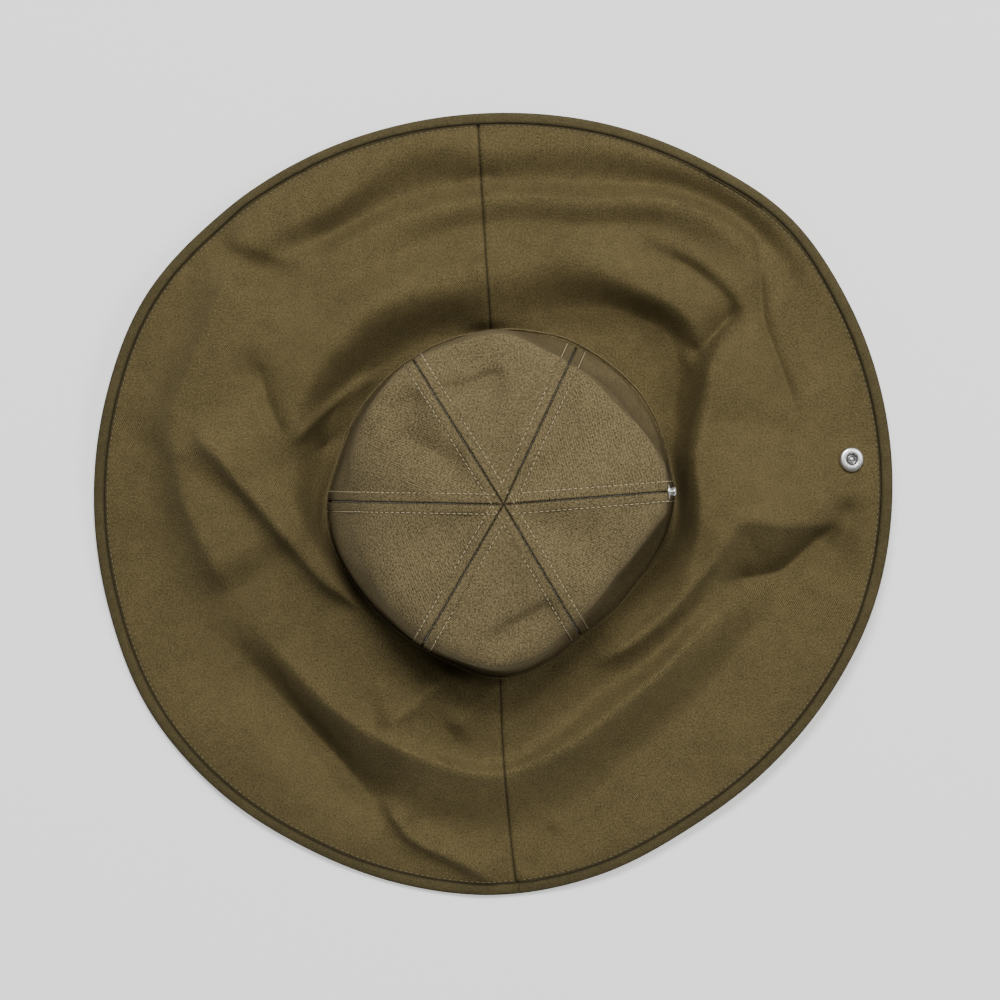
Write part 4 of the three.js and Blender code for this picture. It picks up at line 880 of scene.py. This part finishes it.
def crown_panel(name, start, end):
    rows = crown_point_rows()
    angle = panel_angles(start, end, rows)
    row_grid = np.repeat(rows[:, None], angle.shape[1], axis=1)
    places = seat_on_snap(crown_place(angle, row_grid), stud_place, stud_normal)
    radius = np.hypot(places[..., 0], places[..., 1])
    from_start = radius * np.sin(np.radians(angle - start))
    from_end = radius * np.sin(np.radians(end - angle))
    seam = np.minimum(np.abs(from_start), np.abs(from_end))
    normals = grid_normals(places)
    normals[0] = (0, 0, 1)
    facing = np.sign(np.sum(normals * np.array([0, 0, 1.0]), axis=-1).mean())
    normals = normals * facing
    hold = smooth(radius / 10.0) * smooth((2.0 - row_grid) / 0.15)
    soft = crown_softness(places[..., 0], places[..., 1], places[..., 2]) * smooth((seam - 1.0) / 7.0)
    lift = seam_relief(seam) * smooth(radius / 3.0) + hold * soft
    lift = lift * smooth((np.linalg.norm(places - stud_place, axis=-1) - 4.0) / 4.0)
    places = places + normals * lift[..., None]
    places[0] = places[0].mean(axis=0)
    piece = cloth_grid(name, places)
    run = np.cumsum(np.linalg.norm(np.diff(places, axis=0, prepend=places[:1]), axis=-1), axis=0)
    centre = math.radians((start + end) / 2)
    turn = np.radians(angle) - centre
    lay_uv(piece, run * np.sin(turn) + 37 * start, run * np.cos(turn))
    # painted shade: darker in the seam's groove, in dots a stitch apart, and in a thin line along each stitch
    # row
    painted_shade_dots = 0.5 + 0.5 * np.cos(2 * math.pi * run / STITCH_PITCH)
    lay_painted_shade(piece, ridge(seam, 0.0, 0.6) * (0.7 + 0.3 * painted_shade_dots) + 0.22 * ridge(seam, STITCH_OFFSET, 0.6))
    edit_clean(piece, 1e-6)
    face_up(piece)
    thicken(piece, CROWN_WALL, -1.0)
    return piece


panels = []
for number, start in enumerate(CROWN_SEAMS):
    end = CROWN_SEAMS[(number + 1) % len(CROWN_SEAMS)]
    end = end if end > start else end + 360.0
    panel = crown_panel(f"crown_cloth_{number + 1}", start, end)
    take_place(panel, f"crown_panel_{number + 1}")
    panels.append(panel)

# %% [markdown]
# ## Stitches
# The topstitching is a thicker, paler thread than the cloth. A line drawn on the cloth would look flat, and
# a whole thread above and below it would be mostly hidden, so only what shows is made: one stitch, a short
# six-sided thread that dives into the cloth at both ends. It is copied along every row, a step apart, turned
# to the row and to the cloth under it. The crown's stitches are one mesh, and the brim's are another.

# %% One stitch
STITCH_LENGTH = 2.25
THREAD = 0.50
STITCH_DIVE = 1.1 * THREAD
# share of the stitch's length, share of its thickness
STITCH_RINGS = [(-0.5, 0.35), (-0.34, 0.9), (0.0, 1.0), (0.34, 0.9), (0.5, 0.35)]


def stitch_shape(sides=6):
    spots, faces = [], []
    for share, fat in STITCH_RINGS:
        for k in range(sides):
            turn = 2 * math.pi * k / sides
            sink = -STITCH_DIVE * (2 * share) ** 4
            spots.append((share * STITCH_LENGTH, fat * THREAD / 2 * math.cos(turn),
                          fat * THREAD / 2 * math.sin(turn) + sink))
    last = (len(STITCH_RINGS) - 1) * sides
    for i in range(len(STITCH_RINGS) - 1):
        for k in range(sides):
            a, b = i * sides + k, i * sides + (k + 1) % sides
            faces.append((a, b, b + sides, a + sides))
    faces.append(tuple(reversed(range(sides))))
    faces.append(tuple(range(last, last + sides)))
    return np.array(spots), faces


STITCH_SPOTS, STITCH_FACES = stitch_shape()
print("one stitch:", len(STITCH_SPOTS), "points,", len(STITCH_FACES), "faces")

# %% Sewing
def along_run(length, values, at):
    return np.stack([np.interp(at, length, values[:, k]) for k in range(3)], axis=-1)


def sew(name, runs):
    """Lay stitches along runs: each is (points, normals), in mm from the crown axis."""
    spots, faces, count = [], [], 0
    for points, normals in runs:
        length = np.concatenate([[0], np.cumsum(np.linalg.norm(np.diff(points, axis=0), axis=-1))])
        stitches = max(1, int(round(length[-1] / STITCH_PITCH)))
        middles = (np.arange(stitches) + 0.5) * length[-1] / stitches
        at = along_run(length, points, middles)
        along = along_run(length, points, middles + 0.4) - along_run(length, points, middles - 0.4)
        up = along_run(length, normals, middles)
        along /= np.linalg.norm(along, axis=-1, keepdims=True)
        up -= along * np.sum(up * along, axis=-1, keepdims=True)
        up /= np.linalg.norm(up, axis=-1, keepdims=True)
        across = np.cross(up, along)
        for spot, a, c, u in zip(at, along, across, up):
            base = len(STITCH_SPOTS) * count
            spots.append(spot + STITCH_SPOTS[:, :1] * a + STITCH_SPOTS[:, 1:2] * c + STITCH_SPOTS[:, 2:] * u)
            faces += [tuple(base + v for v in face) for face in STITCH_FACES]
            count += 1
    mesh = bpy.data.meshes.new(name)
    mesh.from_pydata(((np.concatenate(spots) + AXIS) * MM).tolist(), [], faces)
    piece = bpy.data.objects.new(name, mesh)
    bpy.context.scene.collection.objects.link(piece)
    plain_select(piece)
    bpy.ops.object.shade_smooth()
    join_object(piece)
    print(count, "stitches")
    return piece


# %% Crown topstitching
MAIN_SEAMS = (122.0, 300.5)     # sewn last, so its rows run straight across the top
STITCH_LIFT = 0.34


def seam_run(seam, side, neighbour_gap):
    start = 0.0 if seam in MAIN_SEAMS else STITCH_OFFSET / math.tan(math.radians(neighbour_gap)) + 0.5
    flat = np.linspace(start, HEAD_RADIUS * float(crown_column("shoulder", np.float64(seam))), 90)
    radius = np.hypot(flat, STITCH_OFFSET)
    angle = seam + side * np.degrees(np.arctan2(STITCH_OFFSET, flat))
    shoulder = HEAD_RADIUS * crown_column("shoulder", angle)
    dome_rows = radius / shoulder
    keep = dome_rows <= 1.0
    wall_rows = 1 + np.linspace(0.01, 0.985, 60)
    wall_angle = np.full_like(wall_rows, seam)
    for _ in range(3):
        wall_angle = seam + side * np.degrees(np.arcsin(STITCH_OFFSET / crown_radius(wall_angle, wall_rows)))
    angles = np.concatenate([angle[keep], wall_angle])
    rows = np.concatenate([dome_rows[keep], wall_rows])
    points = seat_on_snap(crown_place(angles, rows), stud_place, stud_normal)
    nearby = crown_place(angles + 0.3, rows)
    lower = crown_place(angles, rows + 0.01)
    normals = np.cross(lower - points, nearby - points)
    normals /= np.linalg.norm(normals, axis=-1, keepdims=True)
    return points + normals * (seam_relief(np.array(STITCH_OFFSET)) + STITCH_LIFT), normals


crown_runs = []
for number, seam in enumerate(CROWN_SEAMS):
    after = (CROWN_SEAMS[(number + 1) % 6] - seam) % 360
    before = (seam - CROWN_SEAMS[(number - 1) % 6]) % 360
    crown_runs.append(seam_run(seam, 1, after))
    crown_runs.append(seam_run(seam, -1, before))
crown_stitches = sew("crown_topstitches", crown_runs)

# %% Brim stitching
EDGE_STITCH_INSET = 1.1
EDGE_STITCH_LIFT = 0.16
RUN_POINTS = 900
SEAM_MARGIN = 0.6               # degrees left free beside the brim's seams


def brim_run(out_of, start, end, lift):
    angle = np.linspace(start, end, RUN_POINTS)
    out = out_of(angle)
    step = 0.004
    height = brim_height(angle, out) + brim_wrinkles(angle, out)
    points = seat_on_snap(np.stack([*brim_plan(angle, out), height], axis=-1), socket_place, socket_normal)
    further = np.stack([*brim_plan(angle, out + step), brim_height(angle, out + step)], axis=-1)
    round_the = np.stack([*brim_plan(angle + 0.3, out), brim_height(angle + 0.3, out)], axis=-1)
    plain = np.stack([*brim_plan(angle, out), brim_height(angle, out)], axis=-1)
    normals = np.cross(further - plain, round_the - plain)
    normals /= np.linalg.norm(normals, axis=-1, keepdims=True)
    return points + normals * (BRIM_WALL / 2 + lift), normals


def edge_stitch_out(angle):
    return brim_column("edge_out", angle) - (BINDING_WIDTH + EDGE_STITCH_INSET) / BRIM_WIDTH


edge_runs = []
for start, end in ((BRIM_SEAMS[0][1], BRIM_SEAMS[1][1]), (BRIM_SEAMS[1][1], BRIM_SEAMS[0][1] + 360.0)):
    edge_runs.append(brim_run(edge_stitch_out, start + SEAM_MARGIN, end - SEAM_MARGIN, EDGE_STITCH_LIFT))
edge_stitches = sew("brim_edge_stitches", edge_runs)

# %% [markdown]
# ## Base seam
# Where the crown is sewn to the brim the turned edge of the cloth stands up as a thin welt. It is seen as a
# fine light line where the crown leans away from it. A circle of a few points is carried along the seam.

# %% Base seam welt
WELT_PLACE, WELT_RADIUS, WELT_LIFT = 1.6, 0.45, 0.25


def welt_out(angle):
    return np.full_like(angle, WELT_PLACE / BRIM_WIDTH)


def welt(name, points, normals, radius, sides=8):
    along = np.gradient(points, axis=0)
    along /= np.linalg.norm(along, axis=-1, keepdims=True)
    across = np.cross(normals, along)
    rows = []
    for k in range(sides + 1):
        turn = 2 * math.pi * k / sides
        rows.append(points + across * radius * math.cos(turn) + normals * radius * math.sin(turn))
    places = np.array(rows)
    places[:, -1] = places[:, 0]
    piece = cloth_grid(name, places)
    length = np.cumsum(np.linalg.norm(np.diff(points, axis=0, prepend=points[:1]), axis=-1))
    lay_uv(piece, np.tile(length, (sides + 1, 1)), np.tile(np.arange(sides + 1.0)[:, None], (1, len(length))))
    edit_clean(piece, 1e-6)
    bpy.ops.object.shade_smooth()
    return piece


base_welt = welt("base_seam_welt", *brim_run(welt_out, 0.0, 360.0, WELT_LIFT), WELT_RADIUS)
join_object(base_welt)

# %% [markdown]
# ## Snap
# The socket on the brim is a formed metal cap with a rolled rim and a sunk middle; the stud on the crown is
# a flange with a waisted knob. Both are turned parts, so each is a short profile that is spun round its
# axis and smoothed by angle. They lie where the plain solids of the snap lie. A spin can leave a piece inside
# out, so its double points are merged first and its faces are then turned outwards. The socket's mouth gets
# a ring of painted shade round its bright middle.

# %% Snap helpers
def painted_mouth_shade(radius, height):
    """Painted shade inside the socket's mouth, round the bright middle."""
    return 0.8 * ((radius > 1.3) & (radius < 2.75) & (height > 0.9) & (height < 2.0))


def spun(name, profile, place, normal, dark=None, steps=72):
    """Spin a profile of (radius, height) in mm round the normal at a place in mm from the crown axis."""
    bpy.ops.object.select_all(action="DESELECT")
    mesh = bpy.data.meshes.new(name)
    edges = [(k, k + 1) for k in range(len(profile) - 1)]
    mesh.from_pydata([(radius * MM, 0, height * MM) for radius, height in profile], edges, [])
    piece = bpy.data.objects.new(name, mesh)
    bpy.context.scene.collection.objects.link(piece)
    plain_select(piece)
    bpy.ops.object.mode_set(mode="EDIT")
    bpy.ops.mesh.select_all(action="SELECT")
    bpy.ops.mesh.spin(steps=steps, angle=2 * math.pi, center=(0, 0, 0), axis=(0, 0, 1))
    bpy.ops.mesh.select_all(action="SELECT")
    bpy.ops.mesh.remove_doubles(threshold=2e-6)
    bpy.ops.mesh.normals_make_consistent(inside=False)
    bpy.ops.object.mode_set(mode="OBJECT")
    spots = np.array([v.co[:] for v in mesh.vertices]) / MM
    # painted shade kept at each point, from its radius and height on the profile
    lay_painted_shade(piece, dark(np.hypot(spots[:, 0], spots[:, 1]), spots[:, 2]) if dark else np.zeros(len(spots)))
    turn = Vector((0, 0, 1)).rotation_difference(Vector(normal))
    mesh.transform(turn.to_matrix().to_4x4())
    mesh.transform(Matrix.Translation(Vector((np.array(place) + AXIS) * MM)))
    bpy.ops.object.shade_smooth_by_angle(angle=math.radians(35))
    return piece


# %% Snap pieces
SOCKET_PROFILE = [
    (0, -BRIM_WALL), (1.8, -BRIM_WALL), (1.8, 0.3), (6.1, 0.3), (6.4, 0.5), (6.45, 1.5), (6.35, 2.15),
    (6.05, 2.55), (5.5, 2.8), (4.7, 2.92), (3.8, 2.95), (3.4, 2.9), (3.15, 2.7), (3.02, 2.3), (2.98, 1.5),
    (2.7, 1.3), (2.5, 1.45), (2.3, 1.95), (2.0, 2.1), (1.7, 1.95), (1.5, 1.4), (1.35, 1.1), (1.1, 1.1),
    (0.95, 1.7), (0.8, 1.95), (0.45, 2.1), (0, 2.12),
]
STUD_PROFILE = [
    (0, -CROWN_WALL), (1.8, -CROWN_WALL), (1.8, 0.3), (3.8, 0.3), (4.0, 0.5), (4.0, 0.85), (3.8, 1.05),
    (2.7, 1.2), (2.15, 1.3), (1.9, 1.6), (1.9, 2.0), (2.15, 2.5), (2.45, 3.0), (2.5, 3.4), (2.4, 3.85),
    (2.1, 4.2), (1.6, 4.42), (0.9, 4.5), (0, 4.5),
]
BACK_PROFILE = [(0, -1.1), (5.4, -1.1), (5.9, -0.95), (6.2, -0.6), (6.25, -0.25), (6.15, 0.0), (0, 0.0)]

# name, profile, place on the cloth, how far out from it, normal, the solid it stands for
SNAP_PIECES = [
    ("snap_socket_cap", SOCKET_PROFILE, socket_place, BRIM_WALL / 2, socket_normal, "snap_socket"),
    ("snap_socket_rivet", BACK_PROFILE, socket_place, -BRIM_WALL / 2 - SEAM_GAP, socket_normal,
     "snap_socket_back"),
    ("snap_stud_knob", STUD_PROFILE, stud_place, 0.0, stud_normal, "snap_stud"),
    ("snap_stud_rivet", BACK_PROFILE, stud_place, -CROWN_WALL - SEAM_GAP, stud_normal, "snap_stud_back"),
]
metal_pieces = []
for name, profile, place, proud, normal, node in SNAP_PIECES:
    # only the socket's cap gets painted shade, in its mouth
    dark = painted_mouth_shade if name == "snap_socket_cap" else None
    piece = spun(name, profile, place + normal * proud, normal, dark)
    take_place(piece, node)
    metal_pieces.append(piece)

# %% [markdown]
# ## Materials
# A finish could be built in the node editor, but a page of nodes is hard to read back. Here shader maths is
# written as plain expressions: a small class wraps a socket, and its operators add Math nodes. One method
# adds any other node, and three helpers make what every finish of this hat needs.

# %% Shader class
class Shade:
    def __init__(self, material, socket=None):
        self.material = material
        self.socket = socket

    def node(self, kind, inputs=None, output=0, **settings):
        node = self.material.node_tree.nodes.new(kind)
        for key, value in settings.items():
            if key == "stops":
                ramp = node.color_ramp
                while len(ramp.elements) < len(value):
                    ramp.elements.new(0.5)
                for element, (place, colour) in zip(ramp.elements, value):
                    element.position = place
                    element.color = colour
            else:
                setattr(node, key, value)
        for key, value in (inputs or {}).items():
            if isinstance(value, Shade):
                self.material.node_tree.links.new(value.socket, node.inputs[key])
            else:
                node.inputs[key].default_value = value
        return Shade(self.material, node.outputs[output])

    def maths(self, operation, *values):
        return self.node("ShaderNodeMath", dict(enumerate(values)), operation=operation)

    def __add__(self, other):
        return self.maths("ADD", self, other)

    __radd__ = __add__

    def __sub__(self, other):
        return self.maths("SUBTRACT", self, other)

    def __rsub__(self, other):
        return self.maths("SUBTRACT", other, self)

    def __mul__(self, other):
        return self.maths("MULTIPLY", self, other)

    __rmul__ = __mul__


def new_material(name):
    material = bpy.data.materials.new(name)
    material.use_nodes = True
    return material, material.node_tree.nodes["Principled BSDF"], Shade(material)


def noise(make, vector, scale, detail, roughness=0.5):
    sockets = {"Vector": vector, "Scale": scale, "Detail": detail, "Roughness": roughness}
    return make.node("ShaderNodeTexNoise", sockets)


def mixed(make, share, first, second):
    """Mix two colours, each one a tuple or a socket."""
    first, second = [c if isinstance(c, Shade) else (*c, 1.0) for c in (first, second)]
    return make.node("ShaderNodeMix", {0: share, 6: first, 7: second}, 2, data_type="RGBA")


# reads the painted shade kept at each point
def seam_shade(make):
    return make.node("ShaderNodeAttribute", output=2, attribute_name="seam_shade")


# %% [markdown]
# ## Canvas
# The cloth is a matte olive cotton with a fine diagonal weave. Each thread has its own shade, so a dark and a
# light olive are mixed by a sum of patterns: two crossed sine waves for the weave, a fine grain for single
# threads, long thin noise both ways for slubs, and two broad noises for wear and washing. All of them read
# the cloth's own map, so they follow the folds. The weave also lifts the surface a little as bump, and the
# painted shade kept at each point darkens the seams' grooves and the binding's ditch. An image of cloth
# would be quicker, but it would repeat.

# %% Canvas
WEAVE_TONE, SLUB_TONE, WASH_TONE, MOTTLE_TONE = 0.60, 0.30, 0.40, 0.45
TONE_MIDDLE = 0.525             # half the weights' sum without the fleck, less a half
SLUB_SHAPES = ((9.0, 90.0, 1.0), (90.0, 9.0, 1.0))
# how dark the painted shade in grooves and ditches gets, as a share of the deep colour
PAINTED_SHADE_DARKNESS = 0.3


def canvas(name, deep, light, fleck=1.25, thread_mm=1.22, weave_depth=0.12):
    material, shader, make = new_material(name)
    uv = make.node("ShaderNodeUVMap", uv_map="weave")
    split = make.node("ShaderNodeSeparateXYZ", {0: uv})
    threads = 1 / (UV_PER_MM * thread_mm)
    u = Shade(material, split.socket.node.outputs[0]) * threads
    v = Shade(material, split.socket.node.outputs[1]) * threads
    twill = make.maths("SINE", (u - v) * (2 * math.pi))
    cross = make.maths("SINE", (u + v) * (2 * math.pi))
    weave = (twill * 0.8 + cross * 0.2) * 0.5 + 0.5
    slub_a, slub_b = [noise(make, make.node("ShaderNodeMapping", {"Vector": uv, "Scale": shape}), 3.0, 3.0)
                      for shape in SLUB_SHAPES]
    slubs = slub_a * SLUB_TONE + slub_b * SLUB_TONE
    wear = noise(make, uv, 2.2, 5.0, 0.6) * WASH_TONE + noise(make, uv, 14.0, 6.0, 0.65) * MOTTLE_TONE
    grain = noise(make, uv, 95.0, 2.0, 0.7)
    tone = weave * WEAVE_TONE + grain * fleck + slubs + wear - (fleck / 2 + TONE_MIDDLE)
    cloth = mixed(make, tone, deep, light)
    # painted shade darkens the cloth in grooves and ditches
    colour = mixed(make, seam_shade(make), cloth, tuple(PAINTED_SHADE_DARKNESS * c for c in deep))
    material.node_tree.links.new(colour.socket, shader.inputs["Base Color"])
    height = weave + slub_a * 0.6 + slub_b * 0.6
    bump = make.node("ShaderNodeBump", {"Strength": 0.5, "Distance": weave_depth * MM, "Height": height})
    material.node_tree.links.new(bump.socket, shader.inputs["Normal"])
    shader.inputs["Roughness"].default_value = 0.9
    shader.inputs["Specular IOR Level"].default_value = 0.25
    print(name, len(material.node_tree.nodes), "nodes")
    return material


crown_canvas = canvas("crown_canvas_cloth", (0.036, 0.028, 0.011), (0.248, 0.193, 0.094), 2.4)
brim_canvas = canvas("brim_canvas_cloth", (0.036, 0.027, 0.009), (0.181, 0.139, 0.056), 1.7)
binding_tape = canvas("binding_tape", (0.026, 0.021, 0.008), (0.135, 0.107, 0.045), 1.25, 0.8)

# %% [markdown]
# ## Thread and metal
# The crown's thread is a pale sand colour that stands out, the thread at the brim's edge is nearly the
# cloth's own colour, and the snap is nickel plate. None of them is one even tone: a fine grain varies the
# colour and the gloss a little, as twist does on thread and handling does on plate.

# %% Thread and metal
# colour of the painted shade in the snap's mouth
PAINTED_SHADE_COLOUR = (0.04, 0.04, 0.04)


def plain_material(name, colour, roughness, metallic):
    material, shader, make = new_material(name)
    objects = make.node("ShaderNodeTexCoord", output=3)
    grain = noise(make, objects, 900.0, 2.0)
    base = mixed(make, grain, tuple(0.75 * c for c in colour), colour)
    # painted shade, where a piece keeps any, darkens it towards this colour
    finish = mixed(make, seam_shade(make), base, PAINTED_SHADE_COLOUR)
    material.node_tree.links.new(finish.socket, shader.inputs["Base Color"])
    material.node_tree.links.new((grain * 0.2 + (roughness - 0.1)).socket, shader.inputs["Roughness"])
    shader.inputs["Metallic"].default_value = metallic
    return material


crown_thread = plain_material("crown_thread", (0.50, 0.42, 0.25), 0.7, 0.0)
edge_thread = plain_material("edge_thread", (0.19, 0.155, 0.08), 0.7, 0.0)
nickel = plain_material("nickel_plate", (0.86, 0.86, 0.84), 0.34, 1.0)

# %% [markdown]
# ## Floor finish
# The hat lies on a plain white sheet that is lit from all round. A little light of its own stands for the
# light that such a sheet gets from the room, and keeps it pale without washing out the hat.

# %% Floor finish
floor_paint, floor_shader, _ = new_material("pale_floor")
floor_shader.inputs["Base Color"].default_value = (0.93, 0.93, 0.93, 1)
floor_shader.inputs["Roughness"].default_value = 0.9
floor_shader.inputs["Emission Color"].default_value = (1.0, 1.0, 1.0, 1)
floor_shader.inputs["Emission Strength"].default_value = 0.6
print("floor:", floor_paint.name)

# %% [markdown]
# ## Dressing the pieces
# Each piece gets one finish. The welt of the base seam is the crown's own cloth, turned up.

# %% Dressing the pieces
def dress(piece, material):
    piece.data.materials.clear()
    piece.data.materials.append(material)


FINISHES = [
    (floor_paint, [floor]),
    (crown_canvas, panels + [base_welt]),
    (brim_canvas, [brim_left, brim_right]),
    (binding_tape, [binding_left, binding_right]),
    (crown_thread, [crown_stitches]),
    (edge_thread, [edge_stitches]),
    (nickel, metal_pieces),
]
for material, pieces in FINISHES:
    for piece in pieces:
        dress(piece, material)
    print(material.name, "on", len(pieces))
